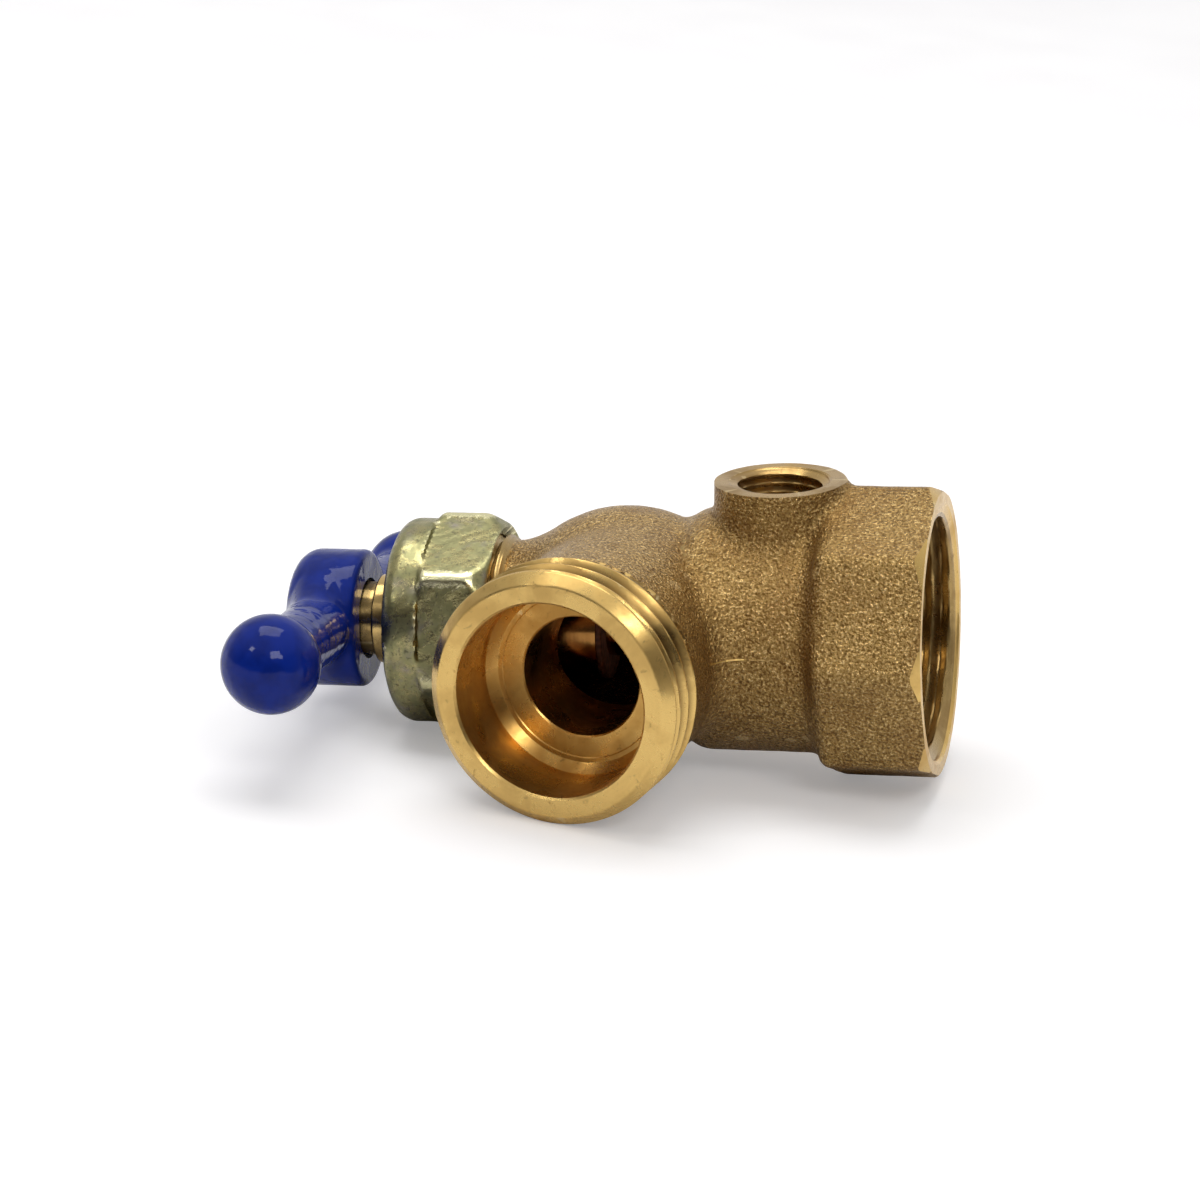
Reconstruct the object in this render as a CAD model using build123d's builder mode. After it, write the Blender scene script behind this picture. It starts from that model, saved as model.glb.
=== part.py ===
"""Brass sillcock with a female pipe inlet, a hose outlet, a side port and a quarter-turn tee handle.

Lengths are millimetres. X runs along the stem and out of the inlet mouth, whose face is at X = 0.
The hose outlet points to -Y and the side port to +Z. The valve is drawn fully open.
"""
from math import cos, radians, sin, sqrt
import os

from build123d import *

# Running and seating clearances
running_clearance = 0.05
seat_gap_closed = 0.05
fit_clearance = 0.05

# Inlet end: an octagon with a corner up, bored for a 3/4 female pipe thread
crossing_x = -31.1
octagon_radius = 15.77
octagon_length = 11.4
octagon_corner_round = 1.2
octagon_shoulder_round = 0.8
inlet_face_inset = 1.07
inlet_thread_wall = 3.67
inlet_mouth_flare = 1.4
inlet_thread_depth = 12.2
inlet_mouth_depth = 1.2

# Barrel between the octagon and the bulb
barrel_step = 3.07
barrel_start = 7.6
barrel_shoulder = 3.4
inlet_chamber_wall = 3.1
inlet_chamber_cone = 3.4
barrel_fillet = 0.9

# Bulb round the outlet chamber, a fat ring arc about the main axis
bulb_offset = 1.9
bulb_radius = 12.6
bulb_arc_radius = 13.9
bulb_wall = 2.8

# Seat partition with its raised seat ring
partition_offset = 2.4
seat_passage_radius = 4.6
seat_ring_radius = 6.2
seat_ring_round = 0.3

# Neck that carries the nut
neck_radius = 8.7
neck_fillet = 1.6
neck_thread_radius = 9.25
neck_thread_offset = 13.9
neck_thread_bevel = 0.6
neck_end_offset = 18.8
neck_bore_radius = 7.6
neck_bore_offset = 9.0

# Hose outlet: 3/4 garden hose thread on a short branch that leans towards the handle
outlet_lean = 9.55
outlet_reach = 26.6
branch_radius = 12.2
outlet_thread_radius = 13.45
outlet_thread_length = 9.2
outlet_face_radius = 12.2
outlet_thread_runout = 0.9
counterbore_radius = 10.28
counterbore_depth = 8.4
counterbore_bevel = 1.0
outlet_bore_radius = 6.3
outlet_bore_start = 7.0

# Side port: a boss for a 1/8 female pipe thread
port_offset = 14.65
port_boss_radius = 6.8
port_stand = 3.4
port_edge_bevel = 0.3
port_thread_radius = 4.3
port_mouth_depth = 0.7

# Nut: six flats with bevelled corners, and a round collar on its outer end
nut_inner_offset = 15.05
nut_hex_radius = 11.66
nut_hex_length = 7.4
nut_hex_clocking = 20.2
nut_bevel_radius = 10.6
nut_inner_bevel = 1.3
nut_outer_bevel = 0.7
nut_corner_round = 0.5
nut_collar_radius = 10.8
nut_collar_round = 1.8
nut_roof = 2.2
nut_mouth_radius = 9.9
nut_mouth_depth = 0.6

# Packing stack under the nut's roof
packing_washer_thickness = 0.8
packing_ring_thickness = 2.6
packing_radius = 9.1
bushing_flange_thickness = 1.3
gasket_thickness = 0.6
gasket_inner_radius = 7.7

# Bushing that carries the stem's fast thread
bushing_end_offset = 10.4
bushing_lip_bevel = 0.4

# Stem
stem_radius = 4.7
stem_thread_radius = 6.3
stem_thread_stop_gap = 0.3
stem_thread_length = 6.5
stem_thread_bevel = 0.5
stem_waist_radius = 4.4
stem_shoulder_offset = 28.8
stem_neck_radius = 3.9
tang_width = 5.5
tang_gap = 0.2
stem_nose_radius = 3.4
stem_nose_bevel = 0.3
stem_groove_radius = 2.7
stem_groove_width = 0.8
stem_groove_setback = 0.7
stem_travel = 3.2

# Swivelling washer cup, its washer and screw
cup_radius = 6.1
cup_rim_offset = 4.2
cup_length = 6.0
cup_recess_depth = 2.0
cup_socket_depth = 2.6
cup_bevel = 0.4
cup_ring_groove_radius = 4.1
seat_washer_radius = 5.65
seat_washer_thickness = 2.5
seat_washer_round = 0.25
ring_thickness = 0.7
ring_mouth_angle = 50
washer_screw_radius = 1.6
washer_screw_head_radius = 3.2
washer_screw_head_height = 1.5
washer_screw_slot_width = 0.8
washer_screw_slot_depth = 0.7

# Tee handle: a cast core under a dipped coat, with a ball on the end of each arm
handle_inner_offset = 30.2
handle_hub_length = 7.85
handle_hub_radius = 7.3
handle_hub_round = 2.4
handle_coat = 0.6
handle_arm_offset = 34.2
handle_arm_sweep = 2.6
handle_ball_radius = 5.1
handle_ball_reach = 26.2
handle_arm_waist_radius = 3.5
handle_arm_waist_reach = 14.0
handle_arm_root_radius = 3.75
handle_arm_neck_round = 2.5
handle_clocking = 6.6
handle_recess_radius = 4.4
handle_tang_hole_radius = 4.3
handle_recess_depth = 2.0
handle_web = 1.2

# Handle screw and its lock washer
handle_screw_radius = 2.05
handle_screw_length = 7.0
handle_screw_head_radius = 3.6
handle_screw_head_height = 1.9
handle_screw_slot_width = 0.9
handle_screw_slot_depth = 0.9
handle_screw_hole_radius = 2.3
lock_washer_radius = 3.7
lock_washer_thickness = 0.7
lock_washer_gap = 0.6
lock_washer_cut = 20
tapped_hole_spare = 0.6

# Radii of the inlet end, all worked out from the octagon's
inlet_face_radius = octagon_radius - inlet_face_inset
inlet_thread_radius = octagon_radius - inlet_thread_wall
inlet_mouth_radius = inlet_thread_radius + inlet_mouth_flare
barrel_radius = octagon_radius - barrel_step
inlet_chamber_radius = barrel_radius - inlet_chamber_wall
port_top = barrel_radius + port_stand

# Stations along X, from the inlet face to the handle
octagon_x = -octagon_length
thread_end_x = -inlet_thread_depth
chamber_end_x = crossing_x + partition_offset + inlet_chamber_cone
partition_x = crossing_x + partition_offset
bulb_x = crossing_x - bulb_offset
neck_bore_x = crossing_x - neck_bore_offset
neck_thread_x = crossing_x - neck_thread_offset
neck_end_x = crossing_x - neck_end_offset
nut_inner_x = crossing_x - nut_inner_offset
nut_collar_x = nut_inner_x - nut_hex_length
gasket_x = neck_end_x - gasket_thickness
bushing_top_x = gasket_x - bushing_flange_thickness
packing_washer_x = bushing_top_x - packing_ring_thickness
nut_roof_x = packing_washer_x - packing_washer_thickness
nut_outer_x = nut_roof_x - nut_roof
bushing_end_x = crossing_x - bushing_end_offset
cup_rim_x = crossing_x - cup_rim_offset
cup_back_x = cup_rim_x - cup_length
cup_floor_x = cup_rim_x - cup_recess_depth
cup_socket_x = cup_back_x + cup_socket_depth
washer_face_x = cup_floor_x + seat_washer_thickness
seat_x = washer_face_x + stem_travel + seat_gap_closed
stem_thread_x = gasket_x + stem_thread_stop_gap
stem_thread_end_x = stem_thread_x + stem_thread_length
stem_nose_x = cup_socket_x - running_clearance
stem_shoulder_x = crossing_x - stem_shoulder_offset
handle_inner_x = crossing_x - handle_inner_offset
handle_outer_x = handle_inner_x - handle_hub_length
handle_recess_x = handle_outer_x + handle_recess_depth
handle_socket_x = handle_recess_x + handle_web
handle_arm_x = crossing_x - handle_arm_offset
tang_end_x = handle_socket_x + tang_gap
core_inner_x = handle_inner_x - handle_coat
groove_x = cup_back_x + stem_groove_setback
screw_seat_x = handle_recess_x - lock_washer_thickness
port_x = crossing_x + port_offset

# The outlet's own frame, Z along the branch and X up
outlet_direction = Vector(-sin(radians(outlet_lean)), -cos(radians(outlet_lean)), 0)
outlet_plane = Plane(origin=(crossing_x, 0, 0), x_dir=(0, 0, 1), z_dir=outlet_direction)

# The arms leave the hub opposite each other, the near one raised, and both swept towards the valve
arm_height = cos(radians(handle_arm_sweep)) * sin(radians(handle_clocking))
arm_width = cos(radians(handle_arm_sweep)) * cos(radians(handle_clocking))
near_arm = Vector(sin(radians(handle_arm_sweep)), -arm_width, arm_height)
far_arm = Vector(sin(radians(handle_arm_sweep)), arm_width, -arm_height)

os.makedirs("parts", exist_ok=True)


def profile(*points):
    """Closed face through (x, radius) points, in the plane of the main axis."""
    with BuildSketch(Plane.XZ) as face:
        with BuildLine():
            Polyline(*points, close=True)
        make_face()
    return face.sketch


def rim(builder, point):
    """Circular edge of a piece that runs nearest to a point."""
    return builder.edges().filter_by(GeomType.CIRCLE).sort_by_distance(point)[0]


def finish(builder, name):
    """Name a finished piece and write it."""
    builder.part.label = name
    export_step(builder.part, f"parts/{name}.step")


# Cast body: neck, bulb and barrel in one outline, then octagon, branch and boss
with BuildPart() as valve_body:
    bulb_centre_height = bulb_radius - bulb_arc_radius
    with BuildSketch(Plane.XZ) as casting_outline:
        with Locations((bulb_x, bulb_centre_height)):
            Circle(bulb_arc_radius)
        with BuildLine():
            barrel_x = crossing_x + barrel_start
            shoulder = barrel_radius - barrel_shoulder
            Polyline(
                (barrel_x - barrel_shoulder, 0),
                (barrel_x - barrel_shoulder, shoulder),
                (barrel_x, barrel_radius),
                (octagon_x, barrel_radius),
                (octagon_x, 0),
                close=True,
            )
        make_face()
        with Locations((barrel_x, shoulder)):
            Circle(barrel_shoulder)
        with BuildLine():
            Polyline(
                (neck_end_x, 0),
                (neck_end_x, neck_thread_radius - neck_thread_bevel),
                (neck_end_x + neck_thread_bevel, neck_thread_radius),
                (neck_thread_x - neck_thread_bevel, neck_thread_radius),
                (neck_thread_x, neck_radius),
                (bulb_x, neck_radius),
                (bulb_x, 0),
                close=True,
            )
        make_face()
        with Locations((neck_end_x, 0)):
            below_axis = (Align.MIN, Align.MAX)
            Rectangle(-2 * neck_end_x, 2 * bulb_arc_radius, align=below_axis, mode=Mode.SUBTRACT)
        bulb_left_x = bulb_x - sqrt(bulb_arc_radius**2 - (neck_radius - bulb_centre_height) ** 2)
        neck_corner = casting_outline.vertices().sort_by_distance((bulb_left_x, neck_radius))[0]
        fillet(neck_corner, neck_fillet)
    revolve(axis=Axis.X)

    # Octagon with its cast corners rounded and its mouth end turned
    with BuildSketch(Plane.YZ.offset(octagon_x)) as octagon_outline:
        RegularPolygon(octagon_radius, 8)
        fillet(octagon_outline.vertices(), octagon_corner_round)
    extrude(amount=octagon_length)
    octagon_back = valve_body.faces().filter_by(Axis.X).sort_by_distance((octagon_x, 0, octagon_radius))[0]
    fillet(octagon_back.inner_wires()[0].edges(), barrel_fillet)
    octagon_back = valve_body.faces().filter_by(Axis.X).sort_by_distance((octagon_x, 0, octagon_radius))[0]
    fillet(octagon_back.outer_wire().edges(), octagon_shoulder_round)

    # Outlet branch and the crests of its hose thread, bevelled at the face and at the runout
    with BuildSketch(outlet_plane):
        Circle(branch_radius)
    extrude(amount=outlet_reach)
    with BuildSketch(outlet_plane.offset(outlet_reach)):
        Circle(outlet_thread_radius)
    extrude(amount=-outlet_thread_length)
    thread_start = outlet_reach - outlet_thread_length
    outlet_rim_point = outlet_plane.from_local_coords((outlet_thread_radius, 0, outlet_reach))
    chamfer(rim(valve_body, outlet_rim_point), outlet_thread_radius - outlet_face_radius)
    runout_point = outlet_plane.from_local_coords((outlet_thread_radius, 0, thread_start))
    chamfer(rim(valve_body, runout_point), outlet_thread_runout)

    # Port boss
    with BuildSketch(Plane.XY):
        with Locations((port_x, 0)):
            Circle(port_boss_radius)
    extrude(amount=port_top)

    # Inlet thread and inlet chamber, down to the seat partition
    inlet_profile = profile(
        (0, 0),
        (0, inlet_mouth_radius),
        (-inlet_mouth_depth, inlet_thread_radius),
        (thread_end_x, inlet_thread_radius),
        (thread_end_x, inlet_chamber_radius),
        (chamber_end_x + inlet_chamber_cone, inlet_chamber_radius),
        (chamber_end_x, seat_passage_radius),
        (chamber_end_x, 0),
    )
    revolve(inlet_profile, axis=Axis.X, mode=Mode.SUBTRACT)
    # Outlet chamber inside the bulb, the neck bore, and the passage through the seat
    with BuildSketch(Plane.XZ) as chamber_outline:
        with Locations((bulb_x, bulb_centre_height)):
            Circle(bulb_arc_radius - bulb_wall)
        with Locations((neck_bore_x, 0)):
            Rectangle(partition_x - neck_bore_x, bulb_radius, align=Align.MIN, mode=Mode.INTERSECT)
        with Locations((neck_end_x, 0)):
            Rectangle(bulb_x - neck_end_x, neck_bore_radius, align=Align.MIN)
        with Locations((bulb_x, 0)):
            Rectangle(chamber_end_x - bulb_x, seat_passage_radius, align=Align.MIN)
    revolve(axis=Axis.X, mode=Mode.SUBTRACT)
    # Raised seat ring
    seat_profile = profile(
        (partition_x, seat_passage_radius),
        (partition_x, seat_ring_radius),
        (seat_x + seat_ring_round, seat_ring_radius),
        (seat_x, seat_ring_radius - seat_ring_round),
        (seat_x, seat_passage_radius),
    )
    revolve(seat_profile, axis=Axis.X)
    # Outlet bore and the counterbore for the hose washer
    with BuildSketch(outlet_plane.offset(outlet_bore_start)):
        Circle(outlet_bore_radius)
    extrude(amount=outlet_reach, mode=Mode.SUBTRACT)
    with BuildSketch(outlet_plane.offset(outlet_reach)):
        Circle(counterbore_radius)
    extrude(amount=-(counterbore_depth - counterbore_bevel), mode=Mode.SUBTRACT)
    with BuildSketch(outlet_plane.offset(outlet_reach - counterbore_depth)):
        Circle(counterbore_radius - counterbore_bevel)
    with BuildSketch(outlet_plane.offset(outlet_reach - counterbore_depth + counterbore_bevel)):
        Circle(counterbore_radius)
    loft(mode=Mode.SUBTRACT)
    # Side port
    with BuildSketch(Plane.XY.offset(port_top)):
        with Locations((port_x, 0)):
            Circle(port_thread_radius)
    extrude(amount=-port_top, mode=Mode.SUBTRACT)
    chamfer(rim(valve_body, (port_x + port_boss_radius, 0, port_top)), port_edge_bevel)
    chamfer(rim(valve_body, (port_x + port_thread_radius, 0, port_top)), port_mouth_depth)
    # The octagon's corners are turned off at the mouth
    corner_bevel = octagon_radius - inlet_face_radius
    mouth_profile = profile(
        (0, inlet_face_radius),
        (-corner_bevel, octagon_radius),
        (0, octagon_radius),
    )
    revolve(mouth_profile, axis=Axis.X, mode=Mode.SUBTRACT)
finish(valve_body, "valve_body")

# Nut: hexagon with turned bevels, a round collar, and one bore down to its roof
with BuildPart() as packing_nut:
    with BuildSketch(Plane.YZ.offset(nut_inner_x)) as nut_outline:
        RegularPolygon(nut_hex_radius, 6, rotation=nut_hex_clocking)
        fillet(nut_outline.vertices(), nut_corner_round)
    extrude(amount=-nut_hex_length)
    bevel_profile = profile(
        (nut_inner_x, 0),
        (nut_inner_x, nut_bevel_radius),
        (nut_inner_x - nut_inner_bevel, nut_hex_radius),
        (nut_collar_x + nut_outer_bevel, nut_hex_radius),
        (nut_collar_x, nut_collar_radius),
        (nut_collar_x, 0),
    )
    revolve(bevel_profile, axis=Axis.X, mode=Mode.INTERSECT)
    with BuildSketch(Plane.YZ.offset(nut_collar_x)):
        Circle(nut_collar_radius)
    extrude(amount=nut_outer_x - nut_collar_x)
    fillet(packing_nut.edges().filter_by(GeomType.CIRCLE).sort_by(Axis.X)[0], nut_collar_round)
    nut_bore = neck_thread_radius + fit_clearance
    bore_profile = profile(
        (nut_inner_x, 0),
        (nut_inner_x, nut_mouth_radius),
        (nut_inner_x - nut_mouth_depth, nut_bore),
        (nut_roof_x, nut_bore),
        (nut_roof_x, stem_radius + running_clearance),
        (nut_outer_x, stem_radius + running_clearance),
        (nut_outer_x, 0),
    )
    revolve(bore_profile, axis=Axis.X, mode=Mode.SUBTRACT)
finish(packing_nut, "packing_nut")

# Packing stack, from the nut's roof down to the end of the neck
stem_hole_radius = stem_radius + running_clearance
with BuildPart() as packing_washer:
    with BuildSketch(Plane.YZ.offset(nut_roof_x)):
        Circle(packing_radius)
        Circle(stem_hole_radius, mode=Mode.SUBTRACT)
    extrude(amount=packing_washer_thickness)
finish(packing_washer, "packing_washer")

with BuildPart() as packing_ring:
    with BuildSketch(Plane.YZ.offset(packing_washer_x)):
        Circle(packing_radius)
        Circle(stem_hole_radius, mode=Mode.SUBTRACT)
    extrude(amount=packing_ring_thickness)
finish(packing_ring, "packing_ring")

with BuildPart() as neck_gasket:
    with BuildSketch(Plane.YZ.offset(gasket_x)):
        Circle(packing_radius)
        Circle(gasket_inner_radius, mode=Mode.SUBTRACT)
    extrude(amount=gasket_thickness)
finish(neck_gasket, "neck_gasket")

# Threaded bushing: its flange stops the stem, its sleeve fills the neck bore
with BuildPart() as stem_bushing:
    bushing_radius = neck_bore_radius - fit_clearance
    bushing_bore = stem_thread_radius + running_clearance
    bushing_profile = profile(
        (bushing_top_x, stem_hole_radius),
        (bushing_top_x, packing_radius),
        (gasket_x, packing_radius),
        (gasket_x, bushing_radius),
        (bushing_end_x - bushing_lip_bevel, bushing_radius),
        (bushing_end_x, bushing_radius - bushing_lip_bevel),
        (bushing_end_x, bushing_bore),
        (gasket_x, bushing_bore),
        (gasket_x, stem_hole_radius),
    )
    revolve(bushing_profile, axis=Axis.X)
finish(stem_bushing, "stem_bushing")

# Stem: square tang, journal, fast thread and the grooved nose that the cup swivels on
with BuildPart() as stem:
    groove_end_x = groove_x + stem_groove_width
    stem_profile = profile(
        (core_inner_x, 0),
        (core_inner_x, stem_neck_radius),
        (stem_shoulder_x, stem_neck_radius),
        (stem_shoulder_x, stem_radius),
        (stem_thread_x, stem_radius),
        (stem_thread_x, stem_thread_radius - stem_thread_bevel),
        (stem_thread_x + stem_thread_bevel, stem_thread_radius),
        (stem_thread_end_x - stem_thread_bevel, stem_thread_radius),
        (stem_thread_end_x, stem_thread_radius - stem_thread_bevel),
        (stem_thread_end_x, stem_waist_radius),
        (cup_back_x - stem_thread_stop_gap, stem_waist_radius),
        (cup_back_x - stem_thread_stop_gap, stem_nose_radius),
        (groove_x, stem_nose_radius),
        (groove_x, stem_groove_radius),
        (groove_end_x, stem_groove_radius),
        (groove_end_x, stem_nose_radius),
        (stem_nose_x - stem_nose_bevel, stem_nose_radius),
        (stem_nose_x, stem_nose_radius - stem_nose_bevel),
        (stem_nose_x, 0),
    )
    revolve(stem_profile, axis=Axis.X)
    with BuildSketch(Plane.YZ.offset(core_inner_x)):
        Rectangle(tang_width, tang_width, rotation=-handle_clocking)
        Circle(stem_neck_radius, mode=Mode.INTERSECT)
    extrude(amount=tang_end_x - core_inner_x)
    with BuildSketch(Plane.YZ.offset(tang_end_x)):
        Circle(handle_screw_radius + fit_clearance)
    extrude(amount=screw_seat_x + handle_screw_length - tang_end_x + tapped_hole_spare, mode=Mode.SUBTRACT)
finish(stem, "stem")

# Washer cup: socket for the nose on one side, recess for the seat washer on the other
with BuildPart() as washer_cup:
    cup_profile = profile(
        (cup_back_x, stem_nose_radius + running_clearance),
        (cup_back_x, cup_radius - cup_bevel),
        (cup_back_x + cup_bevel, cup_radius),
        (cup_rim_x, cup_radius),
        (cup_rim_x, seat_washer_radius + fit_clearance),
        (cup_floor_x, seat_washer_radius + fit_clearance),
        (cup_floor_x, washer_screw_radius + fit_clearance),
        (cup_socket_x, washer_screw_radius + fit_clearance),
        (cup_socket_x, stem_nose_radius + running_clearance),
        (groove_end_x, stem_nose_radius + running_clearance),
        (groove_end_x, cup_ring_groove_radius),
        (groove_x, cup_ring_groove_radius),
        (groove_x, stem_nose_radius + running_clearance),
    )
    revolve(cup_profile, axis=Axis.X)
finish(washer_cup, "washer_cup")

# Open wire ring that keeps the cup on the nose
with BuildPart() as cup_retaining_ring:
    ring_inner_radius = stem_groove_radius + running_clearance
    with BuildSketch(Plane.YZ.offset(groove_x + running_clearance)):
        Circle(cup_ring_groove_radius - running_clearance)
        Circle(ring_inner_radius, mode=Mode.SUBTRACT)
        mouth = cup_ring_groove_radius * 2
        half_angle = radians(ring_mouth_angle / 2)
        with BuildLine():
            Polyline(
                (0, 0),
                (mouth * cos(half_angle), mouth * sin(half_angle)),
                (mouth * cos(half_angle), -mouth * sin(half_angle)),
                close=True,
            )
        make_face(mode=Mode.SUBTRACT)
    extrude(amount=ring_thickness)
finish(cup_retaining_ring, "cup_retaining_ring")

with BuildPart() as seat_washer:
    with BuildSketch(Plane.YZ.offset(cup_floor_x)):
        Circle(seat_washer_radius)
        Circle(washer_screw_radius + fit_clearance, mode=Mode.SUBTRACT)
    extrude(amount=seat_washer_thickness)
    fillet(seat_washer.edges().group_by(Axis.X)[-1].sort_by(SortBy.RADIUS)[-1], seat_washer_round)
finish(seat_washer, "seat_washer")

# Washer screw with a domed, slotted head
with BuildPart() as washer_screw:
    with BuildSketch(Plane.YZ.offset(cup_socket_x)):
        Circle(washer_screw_radius)
    extrude(amount=washer_face_x - cup_socket_x)
    with BuildSketch(Plane.YZ.offset(washer_face_x)):
        Circle(washer_screw_head_radius)
    extrude(amount=washer_screw_head_height)
    fillet(washer_screw.edges().group_by(Axis.X)[-1], washer_screw_head_height / 2)
    with BuildSketch(Plane.YZ.offset(washer_face_x + washer_screw_head_height)):
        Rectangle(washer_screw_slot_width, 2 * washer_screw_head_radius, rotation=-handle_clocking)
    extrude(amount=-washer_screw_slot_depth, mode=Mode.SUBTRACT)
finish(washer_screw, "washer_screw")


def handle_blank(inset):
    """Tee of a hub and two ball-ended arms, with every outer surface drawn in by an inset."""
    waist_radius = handle_arm_waist_radius - inset
    ball_radius = handle_ball_radius - inset
    throat_reach = handle_ball_reach - sqrt(ball_radius**2 - waist_radius**2)
    with BuildPart() as blank:
        with BuildSketch(Plane.YZ.offset(handle_outer_x + inset)):
            Circle(handle_hub_radius - inset)
        extrude(amount=handle_hub_length - 2 * inset)
        for direction in (near_arm, far_arm):
            side = Vector(1, 0, 0).cross(direction)
            arm_plane = Plane((handle_arm_x, 0, 0), x_dir=direction.cross(side), z_dir=side)
            with BuildSketch(arm_plane) as arm_outline:
                with BuildLine():
                    Polyline(
                        (0, 0),
                        (handle_arm_root_radius - inset, 0),
                        (waist_radius, handle_arm_waist_reach),
                        (waist_radius, handle_ball_reach),
                        (0, handle_ball_reach),
                        close=True,
                    )
                make_face()
                with Locations((0, handle_ball_reach)):
                    Circle(ball_radius)
                with Locations((0, 0)):
                    Rectangle(
                        ball_radius,
                        handle_ball_reach + ball_radius,
                        align=Align.MIN,
                        mode=Mode.INTERSECT,
                    )
                throat = arm_outline.vertices().sort_by_distance((waist_radius, throat_reach))[0]
                fillet(throat, handle_arm_neck_round)
            revolve(axis=Axis((handle_arm_x, 0, 0), direction))
        outer_rim = (handle_outer_x + inset, 0, handle_hub_radius - inset)
        fillet(rim(blank, outer_rim), handle_hub_round - inset)
    return blank.part


# Cast core with a square socket for the tang and a recess for the screw
with BuildPart() as handle_core:
    add(handle_blank(handle_coat))
    with BuildSketch(Plane.YZ.offset(core_inner_x)):
        socket_width = tang_width + 2 * fit_clearance
        Rectangle(socket_width, socket_width, rotation=-handle_clocking)
    extrude(amount=handle_socket_x - core_inner_x, mode=Mode.SUBTRACT)
    with BuildSketch(Plane.YZ.offset(handle_outer_x)):
        Circle(handle_screw_hole_radius)
    extrude(amount=handle_hub_length / 2, mode=Mode.SUBTRACT)
    with BuildSketch(Plane.YZ.offset(handle_outer_x)):
        Circle(handle_recess_radius)
    extrude(amount=handle_recess_depth, mode=Mode.SUBTRACT)
finish(handle_core, "handle_core")

# Dipped coat: a skin over the core, open at the tang and at the screw recess
with BuildPart() as handle_coating:
    add(handle_blank(0))
    add(handle_blank(handle_coat), mode=Mode.SUBTRACT)
    with BuildSketch(Plane.YZ.offset(handle_inner_x)):
        Circle(handle_tang_hole_radius)
    extrude(amount=-handle_coat, mode=Mode.SUBTRACT)
    with BuildSketch(Plane.YZ.offset(handle_outer_x)):
        Circle(handle_recess_radius)
    extrude(amount=handle_coat, mode=Mode.SUBTRACT)
finish(handle_coating, "handle_coating")

# Split spring washer under the handle screw
with BuildPart() as lock_washer:
    with BuildSketch(Plane.YZ.offset(screw_seat_x)):
        Circle(lock_washer_radius)
        Circle(handle_screw_hole_radius, mode=Mode.SUBTRACT)
        with Locations((0, lock_washer_radius)):
            Rectangle(lock_washer_gap, 2 * lock_washer_radius, rotation=lock_washer_cut, mode=Mode.SUBTRACT)
    extrude(amount=lock_washer_thickness)
finish(lock_washer, "lock_washer")

# Handle screw with a domed, slotted head
with BuildPart() as handle_screw:
    with BuildSketch(Plane.YZ.offset(screw_seat_x)):
        Circle(handle_screw_radius)
    extrude(amount=handle_screw_length)
    with BuildSketch(Plane.YZ.offset(screw_seat_x)):
        Circle(handle_screw_head_radius)
    extrude(amount=-handle_screw_head_height)
    fillet(handle_screw.edges().group_by(Axis.X)[0], handle_screw_head_height / 2)
    with BuildSketch(Plane.YZ.offset(screw_seat_x - handle_screw_head_height)):
        Rectangle(handle_screw_slot_width, 2 * handle_screw_head_radius, rotation=handle_clocking)
    extrude(amount=handle_screw_slot_depth, mode=Mode.SUBTRACT)
finish(handle_screw, "handle_screw")
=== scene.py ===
"""Looks of a brass sillcock: grained casting, turned ends with real threads, plated nut, dipped handle.

Sizes are millimetres in the frame's axes: X runs along the stem and out of the inlet mouth, the hose outlet
points to -Y and the side port to +Z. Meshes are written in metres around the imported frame.
"""

import itertools
import logging
import math
from collections.abc import Callable, Iterator, Sequence
from contextlib import contextmanager
from dataclasses import dataclass, field
from enum import Enum, IntEnum
from functools import cache

import bmesh
import bpy
import numpy as np
from mathutils import Matrix, Vector


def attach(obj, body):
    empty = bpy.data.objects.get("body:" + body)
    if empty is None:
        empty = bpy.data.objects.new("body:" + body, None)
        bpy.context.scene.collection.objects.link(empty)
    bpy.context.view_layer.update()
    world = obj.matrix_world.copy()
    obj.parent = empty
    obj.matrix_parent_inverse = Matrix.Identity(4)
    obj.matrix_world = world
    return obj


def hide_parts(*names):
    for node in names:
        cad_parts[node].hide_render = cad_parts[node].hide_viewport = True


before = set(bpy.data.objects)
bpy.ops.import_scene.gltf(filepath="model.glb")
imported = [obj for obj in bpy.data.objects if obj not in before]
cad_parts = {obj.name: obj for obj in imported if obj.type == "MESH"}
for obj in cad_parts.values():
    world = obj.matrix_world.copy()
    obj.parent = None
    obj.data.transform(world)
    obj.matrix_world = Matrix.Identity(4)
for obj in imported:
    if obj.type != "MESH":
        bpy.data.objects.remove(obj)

MM = 0.001
WELD = 1e-7  # metres between vertices that are one
VALUE, VECTOR, FORM = "NodeSocketFloat", "NodeSocketVector", "NodeSocketGeometry"
log = logging.getLogger("sillcock")
Distance = Callable[[np.ndarray], np.ndarray]
Colour = tuple[float, float, float]
Place = tuple[float, float, float]
Socket = bpy.types.NodeSocket


class Carve(Enum):
    """How a tool shapes the piece that it meets."""

    JOIN = "UNION"
    CUT = "DIFFERENCE"
    KEEP = "INTERSECT"


class Body(Enum):
    """Bodies of the frame that the scene's own pieces ride on."""

    ROOT = "root"
    STEM = "stem_and_handle"


# Distance fields, in millimetres, negative inside


def round_join(a: np.ndarray, b: np.ndarray, radius: np.ndarray | float) -> np.ndarray:
    """Union of two forms with a concave fillet where they meet.

    Args:
        a: Distances to the first form.
        b: Distances to the second form.
        radius: Fillet radius, one value or one for each point.

    Returns:
        Distances to the union.
    """
    corner = np.hypot(np.maximum(radius - a, 0), np.maximum(radius - b, 0))
    return np.maximum(radius, np.minimum(a, b)) - corner


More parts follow.
